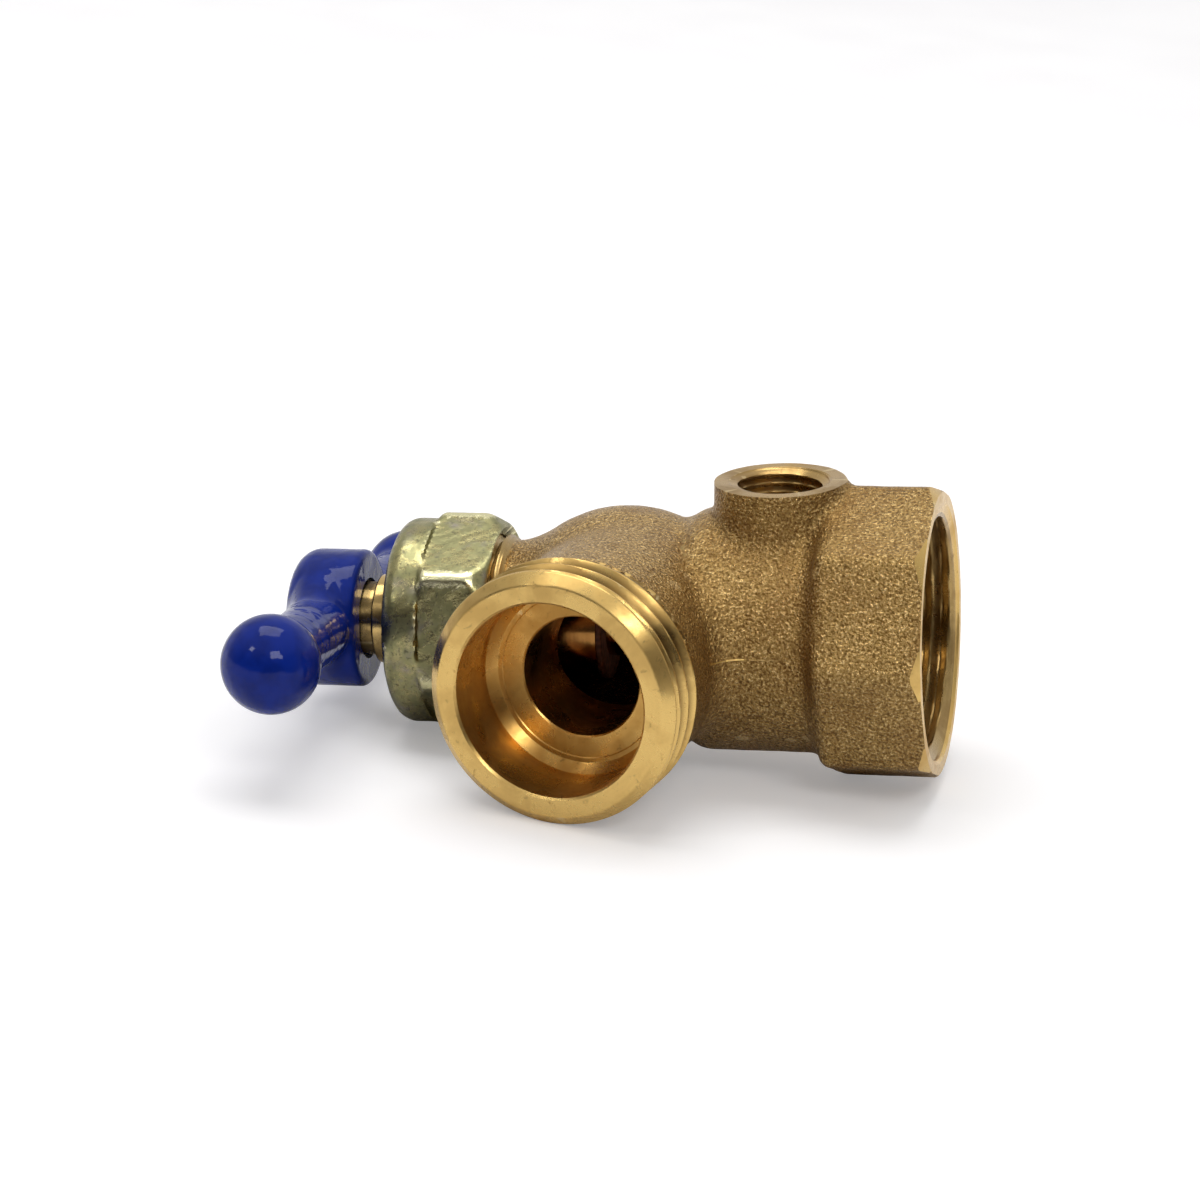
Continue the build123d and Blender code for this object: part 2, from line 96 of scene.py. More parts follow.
def round_keep(a: np.ndarray, b: np.ndarray, radius: float) -> np.ndarray:
    """Intersection of two forms with its edge rounded.

    Args:
        a: Distances to the first form.
        b: Distances to the second form.
        radius: Radius of the rounded edge.

    Returns:
        Distances to the intersection.
    """
    corner = np.hypot(np.maximum(radius + a, 0), np.maximum(radius + b, 0))
    return np.minimum(-radius, np.maximum(a, b)) + corner


def fade(value: np.ndarray, low: float, high: float) -> np.ndarray:
    """Smooth step from 0 at low to 1 at high."""
    share = np.clip((value - low) / (high - low), 0, 1)
    return share * share * (3 - 2 * share)


def polygon_distance(
    y: np.ndarray, z: np.ndarray, sides: int, radius: float, corner: float, turn: float
) -> np.ndarray:
    """Distance to a regular prism about the X axis with rounded corners.

    Args:
        y: Y coordinates.
        z: Z coordinates.
        sides: Number of sides.
        radius: Radius to the sharp corners.
        corner: Radius of the rounded corners.
        turn: Angle of one corner from +Y, in degrees.

    Returns:
        Distances to the prism's wall.
    """
    half = math.pi / sides
    apothem = radius * math.cos(half) - corner
    angle = np.arctan2(z, y) - math.radians(turn) - half
    folded = (angle + half) % (2 * half) - half
    spread = np.hypot(y, z)
    out = spread * np.cos(folded) - apothem
    side = np.abs(spread * np.sin(folded)) - apothem * math.tan(half)
    return np.hypot(np.maximum(out, 0), np.maximum(side, 0)) + np.minimum(out, 0) - corner


def ripple(points: np.ndarray, length: float) -> np.ndarray:
    """Gentle unevenness from -1 to 1, as left by hand polishing or a worn mould.

    Args:
        points: Points in millimetres.
        length: Rough wavelength in millimetres.

    Returns:
        One value for each point.
    """
    bend = 2 * math.pi / length
    x, y, z = (points * bend).T
    first = np.sin(x + 1.7 * np.sin(0.6 * y)) * np.sin(0.9 * z + 0.8 * y + 0.4)
    second = np.sin(1.9 * x - 1.3 * z) * np.sin(1.6 * y + 0.7 * x + 2.1)
    return 0.6 * first + 0.4 * second


@dataclass(frozen=True)
class Skin:
    """Wraps a closed, even quad mesh round a distance field.

    The step is a quad's size. Each of the smoothing rounds ends with a few moves along the field's slope,
    which is read a probe's length to each side.
    """

    step: float
    rounds: int = 4
    moves: int = 3
    probe: float = 0.02
    least_slope: float = 0.05

    def settle(self, points: np.ndarray, distance: Distance) -> np.ndarray:
        """Moves points along the field's slope onto its surface.

        Args:
            points: Points near the surface.
            distance: The field.

        Returns:
            The moved points.
        """
        for _ in range(self.moves):
            value = distance(points)
            slope = np.empty_like(points)
            for axis, shift in enumerate(np.eye(3) * self.probe):
                slope[:, axis] = (distance(points + shift) - distance(points - shift)) / (2 * self.probe)
            length = np.maximum((slope * slope).sum(axis=1), self.least_slope)
            move = slope * (value / length)[:, None]
            points = points - np.clip(move, -self.step, self.step)
        return points

    def wrap(
        self, distance: Distance, low: Sequence[float], high: Sequence[float]
    ) -> tuple[np.ndarray, np.ndarray]:
        """Meshes the field's zero surface inside a box.

        Args:
            distance: The field.
            low: Lowest corner of the box.
            high: Highest corner of the box.

        Returns:
            Vertices in millimetres and quads with outward normals.
        """
        axes = [np.arange(a, b + self.step, self.step) for a, b in zip(low, high)]
        lattice = np.stack(np.meshgrid(*axes, indexing="ij"), axis=-1)
        inside = distance(lattice.reshape(-1, 3)).reshape(lattice.shape[:3]) < 0
        cells = tuple(size - 1 for size in inside.shape)
        count = np.zeros(cells, int)
        for corner in itertools.product((0, 1), repeat=3):
            count += inside[tuple(slice(c, c + size) for c, size in zip(corner, cells))]
        crossed = (count > 0) & (count < 8)
        number = np.full(cells, -1)
        number[crossed] = np.arange(crossed.sum())
        points = np.array([axis[0] for axis in axes]) + (np.argwhere(crossed) + 0.5) * self.step
        quads = []
        for axis in range(3):
            first, second = np.eye(3, dtype=int)[(axis + 1) % 3], np.eye(3, dtype=int)[(axis + 2) % 3]
            lower = np.moveaxis(inside, axis, 0)[:-1]
            upper = np.moveaxis(inside, axis, 0)[1:]
            for starts, ring in (
                (lower & ~upper, (first + second, second, 0 * first, first)),
                (~lower & upper, (first + second, first, 0 * first, second)),
            ):
                edge = np.argwhere(np.moveaxis(starts, 0, axis))
                quads.append(np.stack([number[tuple((edge - back).T)] for back in ring], axis=1))
        faces = np.concatenate(quads)
        points = self.settle(points, distance)
        pairs = np.concatenate([faces[:, [a, (a + 1) % 4]] for a in range(4)])
        pairs = np.concatenate([pairs, pairs[:, ::-1]])
        neighbours = np.bincount(pairs[:, 0], minlength=len(points))[:, None]
        for _ in range(self.rounds):
            sums = [np.bincount(pairs[:, 0], points[pairs[:, 1], axis], len(points)) for axis in range(3)]
            points = self.settle(0.5 * points + 0.5 * np.stack(sums, axis=1) / neighbours, distance)
        return points, faces


# Meshes and objects


def link(name: str, mesh: bpy.types.Mesh) -> bpy.types.Object:
    """Puts a mesh in the scene under a piece's name.

    Args:
        name: The object's name.
        mesh: Its mesh.

    Returns:
        The new object.
    """
    made = bpy.data.objects.new(name, mesh)
    bpy.context.scene.collection.objects.link(made)
    return made


def from_arrays(name: str, points: np.ndarray, faces: np.ndarray) -> bpy.types.Object:
    """Makes an object from points in millimetres and their faces.

    Args:
        name: The object's name.
        points: Vertices in millimetres.
        faces: Vertex numbers of each face.

    Returns:
        The new object, in metres.
    """
    mesh = bpy.data.meshes.new(name)
    mesh.from_pydata((points * MM).tolist(), [], faces.tolist())
    mesh.update()
    return link(name, mesh)


@contextmanager
def editing(mesh: bpy.types.Mesh) -> Iterator[bmesh.types.BMesh]:
    """Opens a mesh for editing and writes it back.

    Args:
        mesh: The mesh that is edited.

    Yields:
        The mesh's editable form.
    """
    edit = bmesh.new()
    edit.from_mesh(mesh)
    yield edit
    edit.to_mesh(mesh)
    edit.free()


def face_outward(mesh: bpy.types.Mesh) -> None:
    """Turns a closed mesh's faces outwards."""
    with editing(mesh) as edit:
        bmesh.ops.recalc_face_normals(edit, faces=edit.faces)


def paint(piece: bpy.types.Object, *materials: bpy.types.Material) -> None:
    """Replaces a piece's materials.

    Args:
        piece: The piece to paint.
        materials: Its materials, in the order of its slots.
    """
    piece.data.materials.clear()
    for material in materials:
        piece.data.materials.append(material)


def apply_modifiers(piece: bpy.types.Object) -> None:
    """Turns what a piece's modifiers make into its own plain mesh.

    Args:
        piece: The piece, which loses its modifiers.
    """
    evaluated = piece.evaluated_get(bpy.context.evaluated_depsgraph_get())
    mesh = bpy.data.meshes.new_from_object(evaluated)
    piece.modifiers.clear()
    piece.data = mesh


def carve(piece: bpy.types.Object, tool: bpy.types.Object, how: Carve) -> None:
    """Joins, cuts or keeps a piece with a tool, which is used up.

    Args:
        piece: The piece that is shaped.
        tool: The closed form that shapes it.
        how: What is done with the tool.
    """
    modifier = piece.modifiers.new("carve", "BOOLEAN")
    modifier.operation = how.value
    modifier.solver = "MANIFOLD"
    modifier.object = tool
    apply_modifiers(piece)
    bpy.data.objects.remove(tool)


def finish_edges(piece: bpy.types.Object, crease: float = 32.0) -> None:
    """Merges stray doubles, shades a piece smooth and keeps edges past an angle crisp.

    Args:
        piece: The piece to finish.
        crease: Angle between faces, in degrees, past which an edge is crisp.
    """
    limit = math.radians(crease)
    with editing(piece.data) as edit:
        bmesh.ops.remove_doubles(edit, verts=edit.verts, dist=WELD)
        bmesh.ops.dissolve_degenerate(edit, edges=edit.edges, dist=WELD)
        for face in edit.faces:
            face.smooth = True
        for edge in edit.edges:
            edge.smooth = edge.calc_face_angle(math.pi) < limit
    flats = piece.modifiers.new("flats", "WEIGHTED_NORMAL")
    flats.keep_sharp = True
    apply_modifiers(piece)


def ride(piece: bpy.types.Object, body: Body, slot: str, *nodes: str) -> None:
    """Gives a piece its body and hides the frame's nodes that it stands for.

    Args:
        piece: The finished piece.
        body: The body that it rides on.
        slot: The record's material slot; not used.
        nodes: Names of the nodes that it replaces.
    """
    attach(piece, body.value)
    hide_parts(*nodes)
    triangles = sum(len(face.vertices) - 2 for face in piece.data.polygons)
    log.info("%s: %d triangles on %s, for %s", piece.name, triangles, body.value, ", ".join(nodes))


# Turned forms


@dataclass(frozen=True)
class Corner:
    """Corner of a turned outline: place along the axis, radius, rounding and depth of a thread's groove."""

    along: float
    radius: float
    round: float = 0.0
    groove: float = 0.0


@dataclass(frozen=True)
class Thread:
    """Screw thread cut in a turned form."""

    pitch: float
    crest: float = 0.12
    root: float = 0.12
    starts: int = 1


NO_THREAD = Thread(pitch=1.0)


def outline(*rows: Sequence[float]) -> list[Corner]:
    """Makes the corners of an outline from rows of their numbers."""
    return [Corner(*row) for row in rows]


@dataclass(frozen=True)
class Lathe:
    """Turns outlines about an axis, and cuts their threads, with one Geometry Nodes tree."""

    origin: Place = (0.0, 0.0, 0.0)
    direction: Place = (1.0, 0.0, 0.0)
    segments: int = 160

    @staticmethod
    def trace(corners: Sequence[Corner], thread: Thread) -> np.ndarray:
        """Points along an outline, with arcs at rounded corners and close points where a thread is cut.

        Args:
            corners: The outline's corners, from the axis to the axis.
            thread: The thread that the outline carries.

        Returns:
            Rows of place along the axis, radius and groove depth.
        """
        arc_points, per_pitch = 5, 14
        rows = []
        for before, here, after in zip(corners, corners[1:], corners[2:]):
            spot = np.array([here.along, here.radius])
            if here.round == 0:
                rows.append((*spot, here.groove))
                continue
            back = np.array([before.along, before.radius]) - spot
            ahead = np.array([after.along, after.radius]) - spot
            back, ahead = back / np.hypot(*back), ahead / np.hypot(*ahead)
            half = math.acos(float(np.clip(back @ ahead, -1, 1))) / 2
            start, end = spot + back * here.round / math.tan(half), spot + ahead * here.round / math.tan(half)
            middle = spot + (back + ahead) / np.linalg.norm(back + ahead) * here.round / math.sin(half)
            first, last = (math.atan2(*(point - middle)[::-1]) for point in (start, end))
            sweep = (last - first + math.pi) % (2 * math.pi) - math.pi
            for turn in first + sweep * np.linspace(0, 1, arc_points):
                on_arc = middle + here.round * np.array([math.cos(turn), math.sin(turn)])
                rows.append((*on_arc, here.groove))
        rows = [(corners[0].along, 0.0, 0.0), *rows, (corners[-1].along, 0.0, 0.0)]
        dense = [rows[0]]
        for last_row, row in zip(rows, rows[1:]):
            cut = max(last_row[2], row[2]) > 0
            count = max(1, math.ceil(abs(row[0] - last_row[0]) / thread.pitch * per_pitch)) if cut else 1
            for share in range(1, count + 1):
                dense.append(tuple(np.array(last_row) + (np.array(row) - np.array(last_row)) * share / count))
        return np.array(dense)

    def turn(self, name: str, corners: Sequence[Corner], thread: Thread = NO_THREAD) -> bpy.types.Object:
        """Makes the closed solid of an outline turned about the axis.

        Args:
            name: The object's name.
            corners: The outline's corners, from the axis to the axis.
            thread: The thread cut where corners have a groove.

        Returns:
            The turned solid, with its place in its mesh.
        """
        rows = self.trace(corners, thread)
        mesh = bpy.data.meshes.new(name)
        points = [(along * MM, radius * MM, 0.0) for along, radius, _ in rows]
        mesh.from_pydata(points, [(i, i + 1) for i in range(len(points) - 1)], [])
        groove = mesh.attributes.new("groove", "FLOAT", "POINT")
        groove.data.foreach_set("value", (rows[:, 2] * MM).astype(np.float32))
        made = link(name, mesh)
        modifier = made.modifiers.new("turned_form", "NODES")
        modifier.node_group = turned_form_tree()
        values = {
            "Segments": self.segments,
            "Pitch": thread.pitch * MM,
            "Starts": float(thread.starts),
            "Crest Share": thread.crest,
            "Root Share": thread.root,
        }
        for item in modifier.node_group.interface.items_tree:
            if item.in_out == "INPUT" and item.name in values:
                modifier[item.identifier] = values[item.name]
        apply_modifiers(made)
        face_outward(made.data)
        heading = Vector((1, 0, 0)).rotation_difference(Vector(self.direction)).to_matrix().to_4x4()
        made.data.transform(Matrix.Translation(Vector(self.origin) * MM) @ heading)
        return made


class Graph:
    """Adds nodes to one node tree and joins them by name."""

    def __init__(self, tree: bpy.types.NodeTree) -> None:
        """Keeps the tree that the nodes go into."""
        self.tree = tree

    def add(self, kind: str, inputs: dict | None = None, **settings: object) -> bpy.types.Node:
        """Adds one node.

        Args:
            kind: The node's type name.
            inputs: Values or sockets for its inputs, by name or number.
            settings: The node's own settings.

        Returns:
            The new node.
        """
        node = self.tree.nodes.new(kind)
        for name, value in settings.items():
            setattr(node, name, value)
        for key, value in (inputs or {}).items():
            socket = node.inputs[key]
            if isinstance(value, Socket):
                self.tree.links.new(value, socket)
            else:
                socket.default_value = value
        return node

    def math(self, operation: str, *values: object) -> Socket:
        """Adds a Math node and returns its value."""
        return self.add("ShaderNodeMath", dict(enumerate(values)), operation=operation).outputs[0]

    def vector_math(self, operation: str, *values: object) -> bpy.types.Node:
        """Adds a Vector Math node."""
        return self.add("ShaderNodeVectorMath", dict(enumerate(values)), operation=operation)

    def noise(self, vector: Socket, scale: object, detail: float = 2.0, **more: float) -> Socket:
        """Adds noise and returns its value.

        Args:
            vector: Where it is read.
            scale: Its fineness.
            detail: Its octaves.
            more: Other inputs, by name.

        Returns:
            The noise, about 0 to 1.
        """
        inputs = {"Vector": vector, "Scale": scale, "Detail": detail, **more}
        return self.add("ShaderNodeTexNoise", inputs).outputs[0]

    def span(
        self, value: Socket, low: object, high: object, start: float = 0.0, end: float = 1.0
    ) -> Socket:
        """Maps a value smoothly from one range to another, held at both ends.

        Args:
            value: The value to map.
            low: Value at which the result starts.
            high: Value at which the result ends.
            start: Result at low.
            end: Result at high.

        Returns:
            The mapped value.
        """
        numbers = {"Value": value, "From Min": low, "From Max": high, "To Min": start, "To Max": end}
        return self.add("ShaderNodeMapRange", numbers, interpolation_type="SMOOTHSTEP").outputs[0]

    def blend(self, share: object, first: object, second: object) -> Socket:
        """Mixes two colours.

        Args:
            share: How much of the second colour shows.
            first: The first colour, as three numbers or a socket.
            second: The second colour, as three numbers or a socket.

        Returns:
            The mixed colour.
        """
        colours = [c if isinstance(c, Socket) else (*c, 1.0) for c in (first, second)]
        node = self.add("ShaderNodeMix", {0: share, 6: colours[0], 7: colours[1]}, data_type="RGBA")
        return node.outputs[2]

    def layers(self, colour: object, *coats: tuple[Socket, float, Colour]) -> Socket:
        """Lays tints over a colour, one on the other.

        Args:
            colour: The colour underneath.
            coats: For each tint, its mask, how much of it shows at most, and its colour.

        Returns:
            The covered colour.
        """
        for mask, most, tint in coats:
            colour = self.blend(self.math("MULTIPLY", mask, most), colour, tint)
        return colour

    def send(self, out: bpy.types.Node, **sockets: Socket) -> bpy.types.NodeTree:
        """Joins sockets to the tree's outputs by name.

        Args:
            out: The tree's output node.
            sockets: The socket for each output.

        Returns:
            The tree.
        """
        for label, socket in sockets.items():
            self.tree.links.new(socket, out.inputs[label])
        return self.tree


def new_tree(
    name: str, inputs: dict[str, tuple[str, object]], outputs: dict[str, str], kind: str = "ShaderNodeTree"
) -> tuple[Graph, dict[str, Socket], bpy.types.Node]:
    """Starts a node group with named sockets.

    Args:
        name: The group's name.
        inputs: For each input, its socket type and its default.
        outputs: For each output, its socket type.
        kind: The tree's type.

    Returns:
        The graph, its input sockets by name, and its output node.
    """
    tree = bpy.data.node_groups.new(name, kind)
    for label, (socket, default) in inputs.items():
        made = tree.interface.new_socket(label, in_out="INPUT", socket_type=socket)
        if default is not None:
            made.default_value = default
    for label, socket in outputs.items():
        tree.interface.new_socket(label, in_out="OUTPUT", socket_type=socket)
    graph = Graph(tree)
    entry = graph.add("NodeGroupInput")
    return graph, {label: entry.outputs[label] for label in inputs}, graph.add("NodeGroupOutput")


@cache
def turned_form_tree() -> bpy.types.NodeTree:
    """Geometry Nodes tree that turns an outline about X and cuts a helical thread where it has a groove.

    Returns:
        The tree.
    """
    inputs = {
        "Outline": (FORM, None),
        "Segments": ("NodeSocketInt", 128),
        "Pitch": (VALUE, 0.001),
        "Starts": (VALUE, 1.0),
        "Crest Share": (VALUE, 0.12),
        "Root Share": (VALUE, 0.12),
    }
    graph, given, out = new_tree("turned_form", inputs, {"Turned": FORM}, "GeometryNodeTree")
    size = graph.add("GeometryNodeAttributeDomainSize", {"Geometry": given["Outline"]}, component="MESH")
    columns = graph.math("ADD", given["Segments"], 1.0)
    cells = {"Vertices X": size.outputs["Point Count"], "Vertices Y": columns}
    grid = graph.add("GeometryNodeMeshGrid", cells)
    index = graph.add("GeometryNodeInputIndex").outputs[0]
    row = graph.math("FLOOR", graph.math("DIVIDE", graph.math("ADD", index, 0.5), columns))
    column = graph.math("SUBTRACT", index, graph.math("MULTIPLY", row, columns))

    def at_row(value: Socket, data_type: str) -> Socket:
        """Value that the outline has at this row's point."""
        sampled = {"Geometry": given["Outline"], "Value": value, "Index": row}
        return graph.add("GeometryNodeSampleIndex", sampled, data_type=data_type).outputs["Value"]

    place = at_row(graph.add("GeometryNodeInputPosition").outputs[0], "FLOAT_VECTOR")
    groove = graph.add("GeometryNodeInputNamedAttribute", {"Name": "groove"}, data_type="FLOAT")
    depth = at_row(groove.outputs["Attribute"], "FLOAT")
    spot = graph.add("ShaderNodeSeparateXYZ", {0: place}).outputs
    turns = graph.math("DIVIDE", column, given["Segments"])
    pitches = graph.math("DIVIDE", spot["X"], given["Pitch"])
    advance = graph.math("SUBTRACT", pitches, graph.math("MULTIPLY", turns, given["Starts"]))
    phase = graph.math("FRACT", graph.math("ADD", advance, 1000.0))
    flank = {
        "Value": graph.math("ABSOLUTE", graph.math("MULTIPLY_ADD", phase, 2.0, -1.0)),
        "From Min": given["Root Share"],
        "From Max": graph.math("SUBTRACT", 1.0, given["Crest Share"]),
        "To Min": 1.0,
        "To Max": 0.0,
    }
    flank = graph.add("ShaderNodeMapRange", flank).outputs[0]
    radius = graph.math("SUBTRACT", spot["Y"], graph.math("MULTIPLY", depth, flank))
    angle = graph.math("MULTIPLY", turns, 2 * math.pi)
    turned = {
        "X": spot["X"],
        "Y": graph.math("MULTIPLY", radius, graph.math("COSINE", angle)),
        "Z": graph.math("MULTIPLY", radius, graph.math("SINE", angle)),
    }
    turned = graph.add("ShaderNodeCombineXYZ", turned).outputs[0]
    form = graph.add("GeometryNodeSetPosition", {"Geometry": grid.outputs["Mesh"], "Position": turned})
    form = graph.add("GeometryNodeMergeByDistance", {"Geometry": form.outputs[0], "Distance": 1e-6})
    form = graph.add("GeometryNodeRealizeInstances", {"Geometry": form.outputs[0]})
    form = graph.add("GeometryNodeSetMaterial", {"Geometry": form.outputs[0]})
    return graph.send(out, Turned=form.outputs[0])


# Shared surface effects, as shader node groups. Their vectors are in millimetres.


@cache
def grain_group() -> bpy.types.NodeTree:
    """Pebbled grain of a sand casting, with its height, its pits and a mask of painted glints.

    Returns:
        The group.
    """
    graph, given, out = new_tree(
        "cast_grain",
        {"Vector": (VECTOR, None), "Fineness": (VALUE, 3.0)},
        {"Height": VALUE, "Pits": VALUE, "Glints": VALUE},
    )
    pebble_inputs = {"Vector": given["Vector"], "Scale": given["Fineness"], "Smoothness": 0.6}
    pebbles = graph.add("ShaderNodeTexVoronoi", pebble_inputs, feature="SMOOTH_F1").outputs["Distance"]
    sand = graph.noise(given["Vector"], graph.math("MULTIPLY", given["Fineness"], 1.1), 3.0, Roughness=0.6)
    height = graph.math("ADD", graph.math("MULTIPLY", pebbles, -0.6), graph.math("MULTIPLY", sand, 1.6))
    # painted highlight: the brightest sand noise makes a mask of glint specks
    pits, painted_glints = graph.span(sand, 0.38, 0.5, 1.0, 0.0), graph.span(sand, 0.54, 0.66)
    return graph.send(out, Height=height, Pits=pits, Glints=painted_glints)


@cache
def stain_group() -> bpy.types.NodeTree:
    """Soft clouds of tarnish, as a mask.

    Returns:
        The group.
    """
    graph, given, out = new_tree(
        "tarnish_cloud",
        {"Vector": (VECTOR, None), "Size": (VALUE, 4.0), "Cover": (VALUE, 0.5)},
        {"Mask": VALUE},
    )
    scale = graph.math("DIVIDE", 1.0, given["Size"])
    cloud = graph.noise(given["Vector"], scale, 5.0, Roughness=0.62, Distortion=0.4)
    edge = graph.math("SUBTRACT", 0.78, graph.math("MULTIPLY", given["Cover"], 0.5))
    low, high = (graph.math(operation, edge, 0.12) for operation in ("SUBTRACT", "ADD"))
    return graph.send(out, Mask=graph.span(cloud, low, high))


@cache
def turning_group() -> bpy.types.NodeTree:
    """Fine rings that a lathe tool leaves round an axis, with broad streaks and the distance from the axis.

    Returns:
        The group.
    """
    inputs = {label: (VECTOR, None) for label in ("Vector", "Centre", "Axis")}
    outputs = {"Height": VALUE, "Streak": VALUE, "Radius": VALUE}
    graph, given, out = new_tree("turning_marks", inputs | {"Fineness": (VALUE, 3.0)}, outputs)
    arm = graph.vector_math("SUBTRACT", given["Vector"], given["Centre"]).outputs[0]
    along = graph.vector_math("DOT_PRODUCT", arm, given["Axis"]).outputs["Value"]
    spread = graph.vector_math("CROSS_PRODUCT", arm, given["Axis"]).outputs[0]
    radius = graph.vector_math("LENGTH", spread).outputs["Value"]
    ring = graph.math("ADD", radius, graph.math("MULTIPLY", along, 0.93))
    fine, broad = (
        graph.add("ShaderNodeTexNoise", {"W": ring, **more}, noise_dimensions="1D").outputs[0]
        for more in (
            {"Scale": given["Fineness"], "Detail": 4.0, "Roughness": 0.7},
            {"Scale": 0.9, "Detail": 1.0},
        )
    )
    return graph.send(out, Radius=radius, Height=fine, Streak=graph.span(broad, 0.35, 0.65))


@cache
def wear_group() -> bpy.types.NodeTree:
    """Mask of edges, broken up by noise: rubbed ones if full is past start, hollow ones if it is below.

    Returns:
        The group.
    """
    graph, given, out = new_tree(
        "edge_wear",
        {"Vector": (VECTOR, None), "Start": (VALUE, 0.52), "Full": (VALUE, 0.58)},
        {"Mask": VALUE},
    )
    pointed = graph.add("ShaderNodeNewGeometry").outputs["Pointiness"]
    patch = graph.noise(given["Vector"], 1.4, 4.0)
    lifted = graph.math("ADD", pointed, graph.math("MULTIPLY_ADD", patch, 0.06, -0.03))
    return graph.send(out, Mask=graph.span(lifted, given["Start"], given["Full"]))


# Finishes


class Surface(Graph):
    """One material's nodes, with object coordinates in millimetres and a Principled shader."""

    def __init__(self, name: str) -> None:
        """Starts a material.

        Args:
            name: The material's name.
        """
        self.material = bpy.data.materials.new(name)
        self.material.use_nodes = True
        super().__init__(self.material.node_tree)
        self.tree.nodes.clear()
        metres = self.add("ShaderNodeTexCoord").outputs["Object"]
        self.place = self.vector_math("SCALE", metres).outputs[0]
        self.place.node.inputs["Scale"].default_value = 1 / MM

    def effect(self, tree: bpy.types.NodeTree, **values: object) -> bpy.types.Node:
        """Places a shared effect, with its Vector joined to the object's coordinates.

        Args:
            tree: The effect's group.
            values: This material's values for the group's inputs, by name.

        Returns:
            The group's node.
        """
        node = self.add("ShaderNodeGroup", node_tree=tree)
        self.tree.links.new(self.place, node.inputs["Vector"])
        for label, value in values.items():
            node.inputs[label].default_value = value
        return node

    def stain(self, size: float, cover: float) -> Socket:
        """Mask of soft clouds of tarnish, of a size in millimetres."""
        return self.effect(stain_group(), Size=size, Cover=cover).outputs["Mask"]

    def edges(self, start: float, full: float) -> Socket:
        """Mask of rubbed edges, or of hollow ones if full is below start."""
        return self.effect(wear_group(), Start=start, Full=full).outputs["Mask"]

    def profile(self, centre: Place, axis: Place) -> Socket:
        """Direction along the outline of a turned form, for a reflection that stretches across its rings.

        Args:
            centre: A point of the axis, in millimetres.
            axis: Direction of the axis.

        Returns:
            The direction, in world space.
        """
        arm = self.vector_math("SUBTRACT", self.place, centre).outputs[0]
        spread = self.vector_math("CROSS_PRODUCT", arm, axis).outputs[0]
        settings = {"convert_from": "OBJECT", "convert_to": "WORLD"}
        spread = self.add("ShaderNodeVectorTransform", {"Vector": spread}, **settings).outputs[0]
        normal = self.add("ShaderNodeNewGeometry").outputs["Normal"]
        across = self.vector_math("CROSS_PRODUCT", spread, normal).outputs[0]
        return self.vector_math("NORMALIZE", across).outputs[0]

    def bump(self, height: Socket, depth: float) -> Socket:
        """Relief from a height of about 0 to 1, with its depth in millimetres."""
        inputs = {"Height": height, "Distance": depth * MM, "Strength": 1.0}
        return self.add("ShaderNodeBump", inputs).outputs[0]

    def close(self, **inputs: object) -> bpy.types.Material:
        """Adds the Principled shader and the output.

        Args:
            inputs: Values or sockets of the shader, with spaces in their names as underscores.

        Returns:
            The finished material.
        """
        named = {label.replace("_", " "): value for label, value in inputs.items()}
        named = {k: (*v, 1.0) if isinstance(v, tuple) and len(v) == 3 else v for k, v in named.items()}
        shader = self.add("ShaderNodeBsdfPrincipled", named)
        self.add("ShaderNodeOutputMaterial", {"Surface": shader.outputs[0]})
        return self.material


@dataclass(frozen=True)
class CastBrass:
    """Grained brass as it leaves the mould, with painted glints and, in its hollow edges, painted shade with
    some grime.
    """

    name: str = "cast_brass"
    light: Colour = (0.44, 0.275, 0.093)
    dark: Colour = (0.17, 0.09, 0.026)
    painted_glint: Colour = (0.95, 0.68, 0.3)
    stain: Colour = (0.26, 0.135, 0.043)
    # darkening for the casting's hollow edges: painted shade with some grime
    grime_and_shade: Colour = (0.09, 0.045, 0.018)
    fineness: float = 3.2
    relief: float = 0.16
    rubbed: Colour = (0.9, 0.68, 0.34)

    def material(self) -> bpy.types.Material:
        """Builds the casting's material.

        Returns:
            The material.
        """
        surface = Surface(self.name)
        grain = surface.effect(grain_group(), Fineness=self.fineness).outputs
        colour = surface.layers(
            self.light,
            (grain["Pits"], 0.85, self.dark),
            # painted highlight: bright glint specks in the base colour
            (grain["Glints"], 0.75, self.painted_glint),
            (surface.stain(9.0, 0.5), 0.4, self.stain),
            # hollow edges darkened: painted shade with some grime
            (surface.edges(0.485, 0.44), 0.7, self.grime_and_shade),
            (surface.edges(0.53, 0.62), 0.5, self.rubbed),
        )
        rough = surface.span(grain["Height"], 0.0, 0.7, 0.42, 0.27)
        relief = surface.bump(grain["Height"], self.relief)
        return surface.close(Base_Color=colour, Metallic=1.0, Roughness=rough, Normal=relief)


